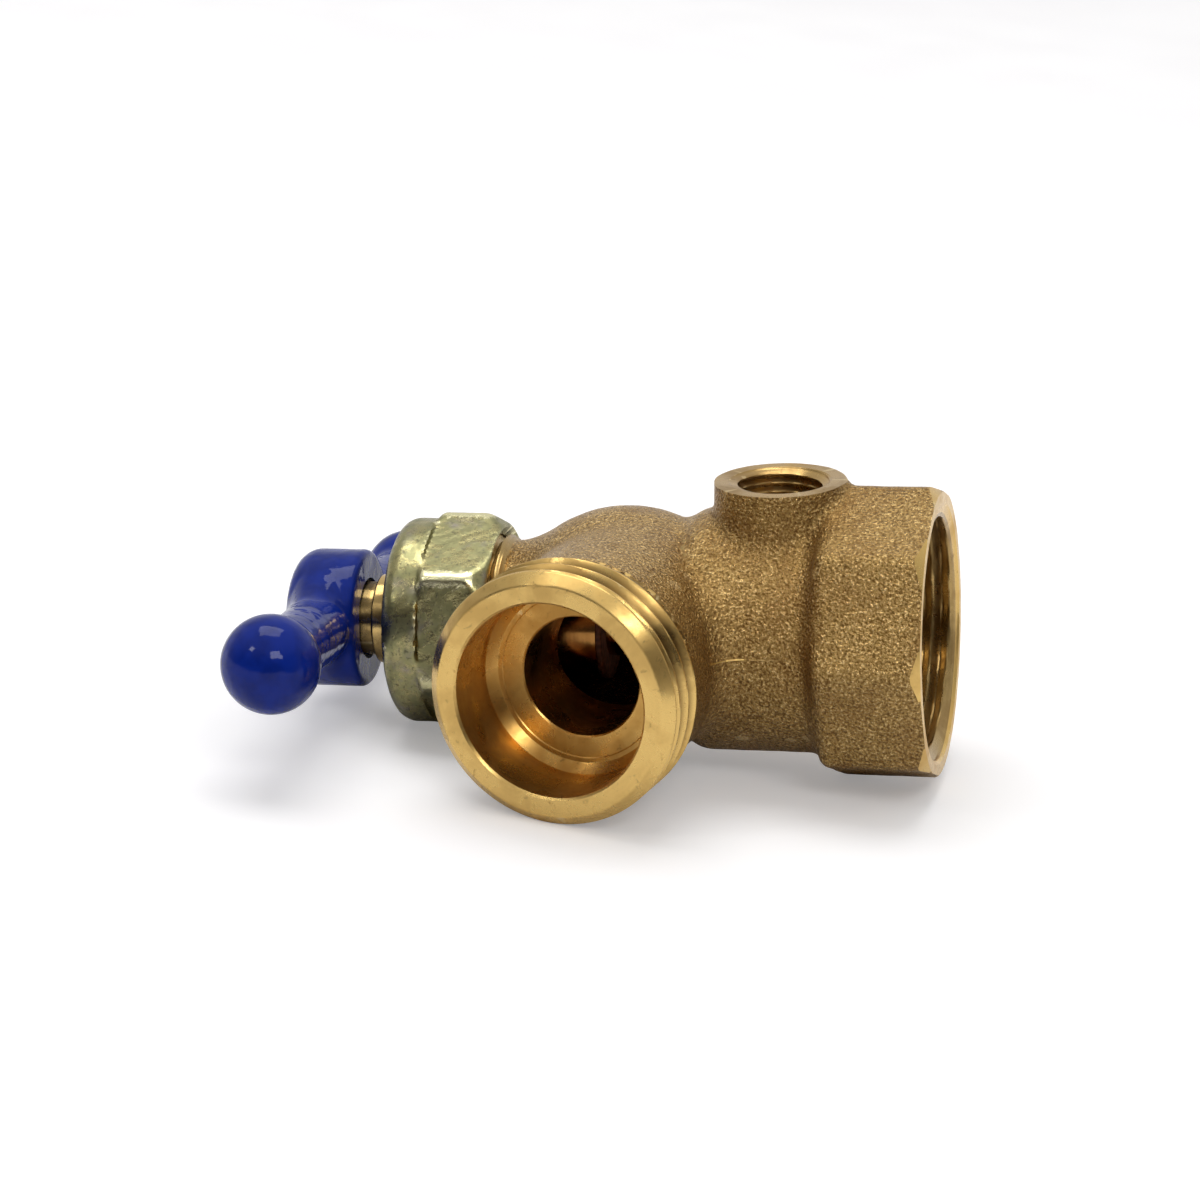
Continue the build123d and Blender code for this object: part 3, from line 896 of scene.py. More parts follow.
@dataclass(frozen=True)
class TurnedBrass:
    """Brass cut on a lathe about one axis, with rings, stains and rubbed edges, and painted shade in its
    hollow edges and towards its thread roots.
    """

    name: str
    centre: Place = (0.0, 0.0, 0.0)
    axis: Place = (1.0, 0.0, 0.0)
    light: Colour = (0.87, 0.59, 0.2)
    dull: Colour = (0.66, 0.41, 0.125)
    # colour of tarnish flecks, also used for painted shade in thread roots and hollow edges
    fleck_and_shade: Colour = (0.18, 0.1, 0.035)
    rough: float = 0.27
    flecks: float = 0.16
    crest: float = 0.0
    stretch: float = 0.7
    worn: float = 0.5
    rubbed: Colour = (1.0, 0.8, 0.42)

    def material(self) -> bpy.types.Material:
        """Builds the turned material.

        Returns:
            The material.
        """
        surface = Surface(self.name)
        marks = surface.effect(turning_group(), Centre=self.centre, Axis=self.axis, Fineness=4.0).outputs
        cloud, flecks = surface.stain(5.0, 0.5), surface.stain(0.9, self.flecks)
        # painted shade: darker towards a thread's roots, below its crest radius
        groove = surface.span(marks["Radius"], self.crest - 0.75, self.crest - 0.08, 0.75, 0.0)
        colour = surface.layers(
            self.light,
            (cloud, 0.6, self.dull),
            (marks["Streak"], 0.2, self.dull),
            (flecks, 0.75, self.fleck_and_shade),
            (groove, 1.0, self.fleck_and_shade),
            # hollow edges darkened: painted shade
            (surface.edges(0.48, 0.42), 0.65, self.fleck_and_shade),
            (surface.edges(0.54, 0.64), self.worn, self.rubbed),
        )
        rough = surface.span(cloud, 0.0, 1.0, self.rough, self.rough + 0.14)
        rough = surface.math("ADD", rough, surface.math("MULTIPLY", flecks, 0.2))
        return surface.close(
            Base_Color=colour,
            Metallic=1.0,
            Roughness=rough,
            Anisotropic=self.stretch,
            Tangent=surface.profile(self.centre, self.axis),
            Normal=surface.bump(marks["Height"], 0.006),
        )


@dataclass(frozen=True)
class ZincPlate:
    """Yellow passivated zinc on a rough nut, with rubbed edges and a painted highlight along its hex corners,
    strongest on top.
    """

    straw: Colour = (0.44, 0.39, 0.18)
    olive: Colour = (0.32, 0.305, 0.145)
    violet: Colour = (0.27, 0.22, 0.28)
    grime_and_shade: Colour = (0.05, 0.05, 0.045)
    bright: Colour = (0.9, 0.84, 0.5)
    # spread past which the painted corner highlight starts
    corner_radius: float = 11.08
    hex_end: float = -53.0

    def material(self) -> bpy.types.Material:
        """Builds the plating's material.

        Returns:
            The material.
        """
        surface = Surface("zinc_plate")
        cloud = surface.stain(1.5, 0.6)
        axes = surface.add("ShaderNodeSeparateXYZ", {0: surface.place}).outputs
        squares = [surface.math("MULTIPLY", axes[name], axes[name]) for name in "YZ"]
        spread = surface.math("SQRT", surface.math("ADD", *squares))
        patches = surface.noise(surface.place, 2.2, 5.0, Roughness=0.75)
        lifted = surface.math("ADD", spread, surface.math("SUBTRACT", patches, 0.5))
        # painted highlight: a bright band along the hex corners, on the hex only, stronger towards +Z
        painted_corner_highlight = surface.span(lifted, self.corner_radius, self.corner_radius + 0.16)
        painted_corner_highlight = surface.math("MULTIPLY", painted_corner_highlight, surface.math("GREATER_THAN", axes["X"], self.hex_end))
        painted_corner_highlight = surface.math("MULTIPLY", painted_corner_highlight, surface.span(axes["Z"], -6.0, 2.0, 0.2, 1.0))
        wear_and_highlight = surface.math("MAXIMUM", surface.edges(0.53, 0.6), painted_corner_highlight)
        colour = surface.layers(
            self.straw,
            (cloud, 1.0, self.olive),
            (surface.stain(4.0, 0.3), 0.55, self.violet),
            (surface.stain(0.5, 0.28), 0.8, self.grime_and_shade),
            # bright colour over rubbed edges and the painted corner highlight
            (wear_and_highlight, 1.0, self.bright),
        )
        rough = surface.span(cloud, 0.0, 1.0, 0.24, 0.34)
        rough = surface.math("SUBTRACT", rough, surface.math("MULTIPLY", wear_and_highlight, 0.08))
        dents = surface.bump(surface.noise(surface.place, 2.4, 5.0, Roughness=0.65), 0.035)
        return surface.close(Base_Color=colour, Metallic=1.0, Roughness=rough, Normal=dents)


@dataclass(frozen=True)
class DippedVinyl:
    """Glossy coat left by dipping the hot handle."""

    colour: Colour = (0.004, 0.021, 0.235)
    deep: Colour = (0.003, 0.015, 0.17)

    def material(self) -> bpy.types.Material:
        """Builds the coat's material.

        Returns:
            The material.
        """
        surface = Surface("blue_vinyl")
        flow = surface.noise(surface.place, 0.35)
        colour = surface.blend(surface.span(flow, 0.35, 0.65), self.colour, self.deep)
        rough, lumps = surface.span(flow, 0.3, 0.7, 0.06, 0.1), surface.bump(flow, 0.14)
        return surface.close(Base_Color=colour, Roughness=rough, Normal=lumps, Specular_IOR_Level=0.2)


@dataclass(frozen=True)
class PlainStock:
    """Inner piece of one stock: rubber, fibre, graphite or bright metal."""

    name: str
    colour: Colour
    mottle: Colour
    metal: float = 0.0
    rough: float = 0.6
    grain: float = 2.0

    def material(self) -> bpy.types.Material:
        """Builds the stock's material.

        Returns:
            The material.
        """
        surface = Surface(self.name)
        fine = surface.noise(surface.place, self.grain, 5.0)
        colour = surface.blend(surface.span(fine, 0.35, 0.65), self.colour, self.mottle)
        rough, grain = surface.span(fine, 0.3, 0.7, self.rough, self.rough + 0.12), surface.bump(fine, 0.02)
        return surface.close(Base_Color=colour, Metallic=self.metal, Roughness=rough, Normal=grain)


# The pieces


class Finish(IntEnum):
    """Material slots of the body."""

    CAST = 0
    MAIN = 1
    OUTLET = 2
    PORT = 3
    INSIDE = 4
    OUTLET_BORE = 5
    INLET_BORE = 6
    HOSE_THREAD = 7
    WATER_WAY = 8


@dataclass
class ValveBody:
    """Cast body with its threads, bores and seat."""

    crossing: float = -31.1
    octagon_radius: float = 15.77
    octagon_length: float = 11.4
    octagon_corner: float = 1.8
    octagon_back: float = 1.5
    shoulder_fillet: float = 1.9
    face_radius: float = 14.7
    barrel_radius: float = 12.7
    barrel_start: float = 7.6
    barrel_shoulder: float = 3.4
    bulb_offset: float = 1.9
    bulb_radius: float = 12.6
    bulb_arc: float = 13.9
    bulb_wall: float = 2.8
    valley_fillet: float = 1.5
    neck_radius: float = 8.7
    neck_fillet: float = 1.6
    neck_thread_radius: float = 9.25
    neck_thread_offset: float = 13.9
    neck_end_offset: float = 18.8
    neck_bore: float = 7.6
    lean: float = 9.55
    reach: float = 26.6
    branch_radius: float = 12.2
    branch_start: float = 6.9
    branch_fillet: float = 2.6
    crotch_fillet: float = 0.35
    fillet_fade: tuple[float, float] = (5.5, 10.5)
    hose_radius: float = 13.2
    hose_length: float = 9.2
    hose_face: float = 12.1
    counterbore: float = 10.1
    counterbore_depth: float = 8.4
    outlet_bore: float = 6.3
    port_offset: float = 14.65
    boss_radius: float = 6.8
    boss_fillet: float = 1.2
    boss_taper: float = 0.03
    port_top: float = 16.1
    port_bore: float = 4.3
    allowance: float = 0.8
    overlap: float = 0.3
    unevenness: float = 0.035
    unevenness_length: float = 7.0
    parting: float = 0.6
    flash_half: float = 0.14
    pipe_thread: Thread = field(default_factory=lambda: Thread(pitch=1.814))
    hose_thread: Thread = field(default_factory=lambda: Thread(pitch=2.209, crest=0.1, root=0.14))
    gland_thread: Thread = field(default_factory=lambda: Thread(pitch=1.4))
    port_thread: Thread = field(default_factory=lambda: Thread(pitch=0.941))

    @property
    def bulb_x(self) -> float:
        """Place of the bulb's middle."""
        return self.crossing - self.bulb_offset

    @property
    def port_x(self) -> float:
        """Place of the side port."""
        return self.crossing + self.port_offset

    @property
    def hose_back(self) -> float:
        """Place of the hose end's back on the outlet's axis."""
        return self.reach - self.hose_length

    @property
    def outlet_axis(self) -> np.ndarray:
        """Direction of the hose outlet."""
        lean = math.radians(self.lean)
        return np.array([-math.sin(lean), -math.cos(lean), 0.0])

    def outlet_place(self, points: np.ndarray) -> tuple[np.ndarray, np.ndarray]:
        """Place of points along the outlet's axis and their distance from it.

        Args:
            points: Points in millimetres.

        Returns:
            The place and the distance of each point.
        """
        arm = points - np.array([self.crossing, 0, 0])
        along = arm @ self.outlet_axis
        return along, np.linalg.norm(arm - along[:, None] * self.outlet_axis, axis=1)

    def casting(self, points: np.ndarray) -> np.ndarray:
        """Distance to the casting before any turning.

        Args:
            points: Points in millimetres.

        Returns:
            One distance for each point.
        """
        x, y, z = points.T
        spread = np.hypot(y, z)
        bulb = np.hypot(x - self.bulb_x, spread + self.bulb_arc - self.bulb_radius) - self.bulb_arc
        barrel_left = self.crossing + self.barrel_start - self.barrel_shoulder
        barrel = round_keep(spread - self.barrel_radius, barrel_left - x, self.barrel_shoulder)
        barrel = np.maximum(barrel, x + self.octagon_length / 2)
        neck = np.maximum(spread - self.neck_radius, self.crossing - self.neck_thread_offset - x)
        neck = np.maximum(neck, x - self.bulb_x)
        octagon = polygon_distance(y, z, 8, self.octagon_radius, self.octagon_corner, 0)
        octagon = round_keep(octagon, -self.octagon_length - x, self.octagon_back)
        octagon = np.maximum(octagon, x - self.allowance)
        along, outlet_spread = self.outlet_place(points)
        branch = np.maximum(outlet_spread - self.branch_radius, along - (self.hose_back + self.overlap))
        branch = np.maximum(branch, -along)
        boss = np.hypot(x - self.port_x, y) - self.boss_radius
        boss = boss - self.boss_taper * np.maximum(self.port_top - z, 0)
        boss = np.maximum(np.maximum(boss, z - self.port_top - self.allowance), -z)
        form = round_join(bulb, barrel, self.valley_fillet)
        form = round_join(form, neck, self.neck_fillet)
        form = round_join(form, octagon, self.shoulder_fillet)
        side = 1 - fade(np.abs(z), *self.fillet_fade)
        fillet = self.crotch_fillet + (self.branch_fillet - self.crotch_fillet) * side
        form = round_join(form, branch, fillet)
        form = round_join(form, boss, self.boss_fillet)
        return form + self.unevenness * ripple(points, self.unevenness_length)

    def inlet_void(self) -> bpy.types.Object:
        """Everything cut about the main axis: inlet face, pipe thread, chamber, seat, bulb and neck bore.

        Returns:
            The closed form that is cut away.
        """
        inner_arc = self.bulb_arc - self.bulb_wall
        lift = self.bulb_radius - self.bulb_arc
        partition, seat = self.crossing + 2.4, self.crossing - 0.45
        start = math.acos((partition - self.bulb_x) / inner_arc)
        end = math.pi - math.asin((self.neck_bore - lift) / inner_arc)
        bulb = [
            (self.bulb_x + inner_arc * math.cos(turn), lift + inner_arc * math.sin(turn))
            for turn in np.linspace(start, end, 28)
        ]
        corners = outline(
            (3.0, 0), (3.0, 21.0), (-6.3, 21.0), (0, self.face_radius, 0.15), (0, 13.5, 0.12),
            (-0.45, 13.15, 0, 1.0), (-9.2, 13.1, 0, 1.0), (-12.2, 12.1), (-12.2, 9.6, 0.3),
            (-21.9, 9.6, 0.6), (-25.3, 4.6, 0.5), (seat, 4.6, 0.2), (seat, 6.2, 0.3),
            (partition, 6.2, 0.3), *bulb, (self.crossing - self.neck_end_offset - 2, self.neck_bore),
            (self.crossing - self.neck_end_offset - 2, 0),
        )
        return Lathe(segments=176).turn("inlet_void", corners, self.pipe_thread)

    def gland_end(self) -> bpy.types.Object:
        """Turned end of the neck with the nut's thread.

        Returns:
            The closed form that is joined on.
        """
        end = self.crossing - self.neck_end_offset
        start = self.crossing - self.neck_thread_offset
        corners = outline(
            (start + 1, 0), (start + 1, 7.9), (start + 0.1, 8.5),
            (start - 0.4, self.neck_thread_radius - 0.1, 0, 0.2),
            (start - 0.9, self.neck_thread_radius, 0, 0.75),
            (end + 0.6, self.neck_thread_radius, 0, 0.75), (end, self.neck_thread_radius - 0.6, 0, 0.1),
            (end, 0),
        )
        return Lathe(segments=144).turn("gland_end", corners, self.gland_thread)

    def outlet_lathe(self, segments: int) -> Lathe:
        """Lathe about the outlet's axis."""
        return Lathe((self.crossing, 0, 0), tuple(self.outlet_axis), segments)

    def hose_end(self) -> bpy.types.Object:
        """Turned end of the branch with the hose thread.

        Returns:
            The closed form that is joined on.
        """
        back = self.hose_back
        bevel = self.hose_radius - self.hose_face
        corners = outline(
            (self.reach, 0), (self.reach, self.hose_face, 0.45),
            (self.reach - bevel, self.hose_radius, 0.3), (self.reach - bevel - 0.15, self.hose_radius, 0),
            (self.reach - bevel - 0.6, self.hose_radius, 0, 1.3), (back + 1.6, self.hose_radius, 0, 1.3),
            (back + 1.1, self.hose_radius - 0.6, 0, 0.5), (back + 0.4, self.branch_radius - 0.15),
            (back - 0.6, self.branch_radius - 0.6), (back - 0.6, 0),
        )
        return self.outlet_lathe(208).turn("hose_end", corners, self.hose_thread)

    def outlet_void(self) -> bpy.types.Object:
        """Counterbore for the hose washer and the bore behind it.

        Returns:
            The closed form that is cut away.
        """
        floor = self.reach - self.counterbore_depth
        corners = outline(
            (self.reach + 2, 0), (self.reach + 2, self.counterbore + 2.6),
            (self.reach, self.counterbore + 0.25), (self.reach - 0.25, self.counterbore, 0.15),
            (floor + 1, self.counterbore, 0.25), (floor, self.counterbore - 1, 0.1), (floor, 8.65),
            (floor - 0.1, 8.55), (floor - 0.1, self.outlet_bore + 0.15), (floor - 0.25, self.outlet_bore),
            (7.0, self.outlet_bore), (7.0, 0),
        )
        return self.outlet_lathe(192).turn("outlet_void", corners)

    def port_void(self) -> bpy.types.Object:
        """Face and thread of the side port.

        Returns:
            The closed form that is cut away.
        """
        top, bore = self.port_top, self.port_bore
        corners = outline(
            (top + 3, 0), (top + 3, self.boss_radius + 2.4), (top, self.boss_radius + 2.4),
            (top, bore + 1.0, 0.1), (top - 0.25, bore + 0.8, 0, 0.7), (top - 6.5, bore + 0.65, 0, 0.7),
            (top - 8.0, bore), (5.0, bore), (5.0, 0),
        )
        return Lathe((self.port_x, 0, 0), (0, 0, 1), 120).turn("port_void", corners, self.port_thread)

    def flash(self, side: int) -> bpy.types.Object:
        """Thin flash that the mould's parting line left along the casting.

        Args:
            side: -1 for the outlet's side, 1 for the other.

        Returns:
            A closed ribbon that stands out of the casting.
        """
        height, half, sink, taper = 0.17, self.flash_half, 0.35, 1.5
        left, right = (-21.2, -14.0) if side < 0 else (-43.0, -12.3)
        stations = np.linspace(left, right, 60)
        near, far = np.full(stations.shape, 5.0), np.full(stations.shape, 19.0)
        for _ in range(30):
            middle = (near + far) / 2
            points = np.stack([stations, side * middle, np.full(stations.shape, self.parting)], axis=1)
            inside = self.casting(points) < 0
            near, far = np.where(inside, middle, near), np.where(inside, far, middle)
        rise = height * np.clip(np.minimum(stations - left, right - stations) / taper, 0.02, 1)
        rise = rise * (0.6 + 0.4 * np.sin(stations * 4.1) * np.sin(stations * 1.83))
        rise = rise * (1 - 0.5 * fade(stations, -20.0, -15.0))
        points = [
            (station, side * (surface + out), self.parting + up)
            for station, surface, top in zip(stations, near, rise)
            for out, up in ((-sink, -half), (0.0, -half), (top, 0.0), (0.0, half), (-sink, half))
        ]
        count = 5
        faces = [
            (a + i, a + (i + 1) % count, a + count + (i + 1) % count, a + count + i)
            for a in range(0, count * (len(stations) - 1), count)
            for i in range(count)
        ]
        ends = [tuple(range(count))[::-1], tuple(range(len(points) - count, len(points)))]
        mesh = bpy.data.meshes.new("flash")
        mesh.from_pydata((np.array(points) * MM).tolist(), [], [*faces, *ends])
        face_outward(mesh)
        return link("flash", mesh)

    def dress(self, piece: bpy.types.Object) -> None:
        """Gives cast and turned faces their finishes, with darker copies as painted shade in the bores and a
        painted highlight on the flash.

        Args:
            piece: The body.
        """
        outlet = {"centre": (self.crossing, 0, 0), "axis": tuple(self.outlet_axis)}
        port = {"centre": (self.port_x, 0, 0), "axis": (0, 0, 1)}
        finishes = {
            Finish.CAST: CastBrass(),
            Finish.MAIN: TurnedBrass("turned_brass_main"),
            Finish.OUTLET: TurnedBrass("turned_brass_outlet", **outlet),
            Finish.PORT: TurnedBrass(
                "turned_brass_port", **port, light=(0.58, 0.38, 0.14), dull=(0.36, 0.22, 0.075)
            ),
            # darker copy of the cast brass for the bulb's inside: painted shade
            Finish.INSIDE: CastBrass(
                "cast_inside_painted_shade",
                (0.2, 0.085, 0.025),
                (0.11, 0.042, 0.011),
                (0.25, 0.11, 0.03),
                (0.07, 0.026, 0.008),
            ),
            # darker copy of the turned brass for the counterbore's wall and floor: painted shade
            Finish.OUTLET_BORE: TurnedBrass(
                "outlet_bore", **outlet, light=(0.7, 0.42, 0.12), dull=(0.5, 0.26, 0.06)
            ),
            # darker copy of the turned brass for the inlet bore and the gland thread beside the nut: painted
            # shade
            Finish.INLET_BORE: TurnedBrass("inlet_bore_painted_shade", light=(0.5, 0.34, 0.13), dull=(0.3, 0.18, 0.06)),
            # crest sets the radius below which the thread roots get painted shade
            Finish.HOSE_THREAD: TurnedBrass("hose_thread", **outlet, crest=self.hose_radius),
            # darker copy of the turned brass for the outlet's bore: painted shade
            Finish.WATER_WAY: TurnedBrass(
                "water_way_painted_shade", **outlet, light=(0.42, 0.2, 0.05), dull=(0.24, 0.1, 0.022), worn=0.0
            ),
        }
        paint(piece, *(finish.material() for finish in finishes.values()))
        faces = piece.data.polygons
        centres = np.empty(len(faces) * 3)
        faces.foreach_get("center", centres)
        centres = centres.reshape(-1, 3) / MM
        x, y, z = centres.T
        along, spread = self.outlet_place(centres)
        main_spread, port_spread = np.hypot(y, z), np.hypot(x - self.port_x, y)
        depth = np.abs(self.casting(centres))
        branch = along > self.branch_start
        bulb = (x > -43) & (x < -28.75) & (main_spread < 11.3)
        # painted highlight: the flash's upper face gets the bright turned finish, so it shows as a bright
        # line
        upper_flash = np.abs(z - self.parting - self.flash_half / 2) < 0.08
        flash_highlight = upper_flash & (depth < 0.2) & (x < -18.0)
        rules = [
            (Finish.OUTLET, branch & (spread < self.hose_radius + 0.1)),
            (Finish.PORT, (port_spread < self.boss_radius + 2.5) & (z > self.port_top - 0.05)),
            (Finish.PORT, (port_spread < self.port_bore + 1) & (z > self.port_top - 8.5)),
            (Finish.OUTLET_BORE, branch & (along < self.reach - 0.25) & (spread < self.counterbore + 0.1)),
            (Finish.INLET_BORE, (x < -0.3) & (x > -28.5) & (main_spread < 13.2)),
            (Finish.WATER_WAY, branch & (along < 17) & (spread < self.outlet_bore + 0.1)),
            (Finish.INLET_BORE, (x < self.crossing - 13.5) & (main_spread < 10.5)),
            (Finish.HOSE_THREAD, (along > self.hose_back) & (along < self.reach - 1.3) & (spread > 11.4)),
            (Finish.INSIDE, bulb & (along < 9) & (spread > self.neck_bore - 2.9)),
            (Finish.CAST, depth < 0.04),
            # painted highlight on the flash's upper face
            (Finish.MAIN, flash_highlight & (along < self.hose_back)),
        ]
        kind = np.full(len(faces), int(Finish.MAIN))
        for finish, where in rules:
            kind[where] = finish
        faces.foreach_set("material_index", kind)

    def build(self) -> bpy.types.Object:
        """Casts the body, then turns, bores and threads it.

        Returns:
            The finished body.
        """
        low, high = (-48.5, -21.5, -17.5), (2.5, 17.5, 18.5)
        piece = from_arrays("body_casting", *Skin(step=0.44).wrap(self.casting, low, high))
        for side in (-1, 1):
            carve(piece, self.flash(side), Carve.JOIN)
        for end in (self.gland_end, self.hose_end):
            carve(piece, end(), Carve.JOIN)
        for void in (self.inlet_void, self.outlet_void, self.port_void):
            carve(piece, void(), Carve.CUT)
        finish_edges(piece)
        self.dress(piece)
        ride(piece, Body.ROOT, "cast_brass", "valve_body")
        return piece


@dataclass
class GlandNut:
    """Plated hexagon nut with a round collar."""

    inner: float = -46.15
    hex_radius: float = 11.66
    hex_length: float = 7.4
    clocking: float = 20.2
    corner: float = 1.0
    inner_bevel: tuple[float, float] = (10.3, 2.0)
    outer_bevel: tuple[float, float] = (10.8, 0.7)
    collar_radius: float = 10.8
    collar_round: float = 1.8
    length: float = 11.25
    roof: float = 2.2
    bore: float = 9.3
    mouth: float = 10.15
    stem_hole: float = 4.75
    end_round: float = 0.25
    bevel_round: float = 0.3
    collar_fillet: float = 0.25
    unevenness: float = 0.02
    unevenness_length: float = 2.6

    def form(self, points: np.ndarray) -> np.ndarray:
        """Distance to the nut's outside.

        Args:
            points: Points in millimetres.

        Returns:
            One distance for each point.
        """
        along = self.inner - points[:, 0]
        spread = np.hypot(points[:, 1], points[:, 2])
        prism = polygon_distance(points[:, 1], points[:, 2], 6, self.hex_radius, self.corner, self.clocking)
        ends = np.abs(along - self.hex_length / 2) - self.hex_length / 2
        prism = round_keep(prism, ends, self.end_round)
        for (start, depth), place in ((self.inner_bevel, along), (self.outer_bevel, self.hex_length - along)):
            rise = self.hex_radius - start
            cone = ((spread - start) * depth - place * rise) / math.hypot(depth, rise)
            prism = round_keep(prism, cone, self.bevel_round)
        collar = round_keep(spread - self.collar_radius, along - self.length, self.collar_round)
        collar = np.maximum(collar, self.hex_length - 0.2 - along)
        form = round_join(prism, collar, self.collar_fillet)
        return form + self.unevenness * ripple(points, self.unevenness_length)

    def build(self) -> bpy.types.Object:
        """Forms the nut and bores it.

        Returns:
            The finished nut.
        """
        outer = self.inner - self.length
        low, high = (outer - 0.8, -12.3, -12.3), (self.inner + 0.8, 12.3, 12.3)
        piece = from_arrays("gland_nut", *Skin(step=0.3).wrap(self.form, low, high))
        corners = outline(
            (self.inner + 1, 0), (self.inner + 1, self.mouth + 1), (self.inner, self.mouth, 0.1),
            (self.inner - 0.9, self.bore, 0.1), (outer + self.roof, self.bore, 0.3),
            (outer + self.roof, self.stem_hole, 0.2), (outer + 0.4, self.stem_hole, 0.1),
            (outer, self.stem_hole + 0.4, 0.1), (outer - 1, self.stem_hole + 0.4), (outer - 1, 0),
        )
        carve(piece, Lathe(segments=128).turn("nut_void", corners), Carve.CUT)
        finish_edges(piece)
        paint(piece, ZincPlate().material())
        ride(piece, Body.ROOT, "zinc_plated_steel", "packing_nut")
        return piece


@dataclass
class Stem:
    """Turned stem with its fast thread, waist, grooved nose and square tang."""

    radius: float = 4.7
    neck: float = 3.9
    tang: float = 5.5
    tang_end: float = -65.75
    square_middle: float = -64.0
    square_length: float = 10.0
    clocking: float = 6.6
    fast_thread: Thread = field(default_factory=lambda: Thread(pitch=3.2, crest=0.2, root=0.2, starts=4))

    def build(self) -> bpy.types.Object:
        """Turns the stem and squares its tang.

        Returns:
            The finished stem.
        """
        corners = outline(
            (-38.75, 0), (-38.75, 3.4, 0.3), (-39.8, 3.4), (-39.8, 2.7), (-40.6, 2.7), (-40.6, 3.4),
            (-41.6, 3.4), (-41.6, 4.4, 0.2), (-43.7, 4.4), (-43.7, 5.8), (-44.2, 6.3, 0, 0.9),
            (-49.7, 6.3, 0, 0.9), (-50.2, 5.8), (-50.2, self.radius), (-59.9, self.radius, 0.25),
            (-59.9, self.neck + 0.15), (-60.1, self.neck), (-61.9, self.neck), (-61.9, 0),
        )
        piece = Lathe(segments=128).turn("turned_stem", corners, self.fast_thread)
        shank = outline((-61.5, 0), (-61.5, self.neck), (self.tang_end, self.neck), (self.tang_end, 0))
        shank = Lathe(segments=96).turn("tang", shank)
        square = bpy.data.meshes.new("square")
        with editing(square) as edit:
            bmesh.ops.create_cube(edit, size=1.0)
        square.transform(Matrix.Diagonal((self.square_length * MM, self.tang * MM, self.tang * MM, 1)))
        square.transform(Matrix.Rotation(-math.radians(self.clocking), 4, "X"))
        square.transform(Matrix.Translation((self.square_middle * MM, 0, 0)))
        carve(shank, link("square", square), Carve.KEEP)
        carve(piece, shank, Carve.JOIN)
        finish_edges(piece)
        colours = {"light": (0.75, 0.52, 0.2), "dull": (0.12, 0.07, 0.025)}
        finish = TurnedBrass("stem_brass", **colours, rough=0.18, flecks=0.1, stretch=0.85)
        paint(piece, finish.material())
        ride(piece, Body.STEM, "stem_brass", "stem")
        return piece


@dataclass
class TeeHandle:
    """Tee of a hub and two ball-ended arms: the coat that its cast core was dipped in."""

    inner: float = -61.3
    hub_length: float = 7.85
    hub_radius: float = 7.3
    hub_round: float = 2.4
    hub_inner_round: float = 0.7
    hub_dish: float = 0.25
    arm_x: float = -65.3
    sweep: float = 2.6
    clocking: float = 6.6
    ball_radius: float = 5.1
    ball_reach: float = 26.2
    waist: float = 3.5
    waist_reach: float = 14.0
    root: float = 3.75
    ball_neck: float = 3.2
    flare: float = 3.4
    least_flare: float = 0.5
    flare_fade: tuple[float, float] = (0.8, 3.9)
    coat: float = 0.6
    recess: float = 4.4
    tang_hole: float = 4.3

    def form(self, points: np.ndarray) -> np.ndarray:
        """Distance to the coat's outside.

        Args:
            points: Points in millimetres.

        Returns:
            One distance for each point.
        """
        x, y, z = points.T
        turn, sweep = math.radians(self.clocking), math.radians(self.sweep)
        out = np.abs(-math.cos(turn) * y + math.sin(turn) * z)
        across = math.sin(turn) * y + math.cos(turn) * z
        along = math.cos(sweep) * out + math.sin(sweep) * (x - self.arm_x)
        spread = np.hypot(math.cos(sweep) * (x - self.arm_x) - math.sin(sweep) * out, across)
        arm_radius = self.root + (self.waist - self.root) * np.clip(along / self.waist_reach, 0, 1)
        arm = np.maximum(spread - arm_radius, along - self.ball_reach)
        ball = np.hypot(spread, along - self.ball_reach) - self.ball_radius
        rise = self.waist + self.ball_neck
        back = math.sqrt((self.ball_radius + self.ball_neck) ** 2 - rise**2)
        ahead, up = along - self.ball_reach + back, rise - spread
        in_neck = (ahead > 0) & (up > 0) & (ahead * rise < up * back)
        arms = np.where(in_neck, self.ball_neck - np.hypot(ahead, up), np.minimum(arm, ball))
        hub_spread = np.hypot(y, z)
        outer = self.inner - self.hub_length + self.hub_dish * (hub_spread / self.hub_radius) ** 2
        hub = round_keep(hub_spread - self.hub_radius, outer - x, self.hub_round)
        hub = round_keep(hub, x - self.inner, self.hub_inner_round)
        middle = 1 - fade(np.abs(x - self.arm_x), *self.flare_fade)
        return round_join(hub, arms, self.least_flare + (self.flare - self.least_flare) * middle)

    def build(self) -> None:
        """Forms the coat as a shell over the frame's core."""
        outer = self.inner - self.hub_length
        tip = self.ball_reach + self.ball_radius + 0.9
        low = (min(outer, self.arm_x - self.ball_radius) - 0.9, -tip, -9.2)
        high = (self.arm_x + self.ball_radius + 2.2, tip, 9.2)
        coat = from_arrays("dipped_coat", *Skin(step=0.3).wrap(self.form, low, high))
        core_form = Skin(step=0.42).wrap(lambda points: self.form(points) + self.coat, low, high)
        carve(coat, from_arrays("coat_inside", *core_form), Carve.CUT)
        lip = outline(
            (outer - 2, 0), (outer - 2, self.recess + 2.2), (outer - 0.1, self.recess + 0.3, 0.3),
            (outer + 0.5, self.recess, 0.3), (outer + 2, self.recess), (outer + 2, 0),
        )
        carve(coat, Lathe(segments=96).turn("recess", lip), Carve.CUT)
        hole = outline(
            (self.inner + 1, 0), (self.inner + 1, self.tang_hole), (self.inner - 1, self.tang_hole),
            (self.inner - 1, 0),
        )
        carve(coat, Lathe(segments=96).turn("tang_hole", hole), Carve.CUT)
        finish_edges(coat, 40)
        paint(coat, DippedVinyl().material())
        ride(coat, Body.STEM, "blue_vinyl", "handle_coating")


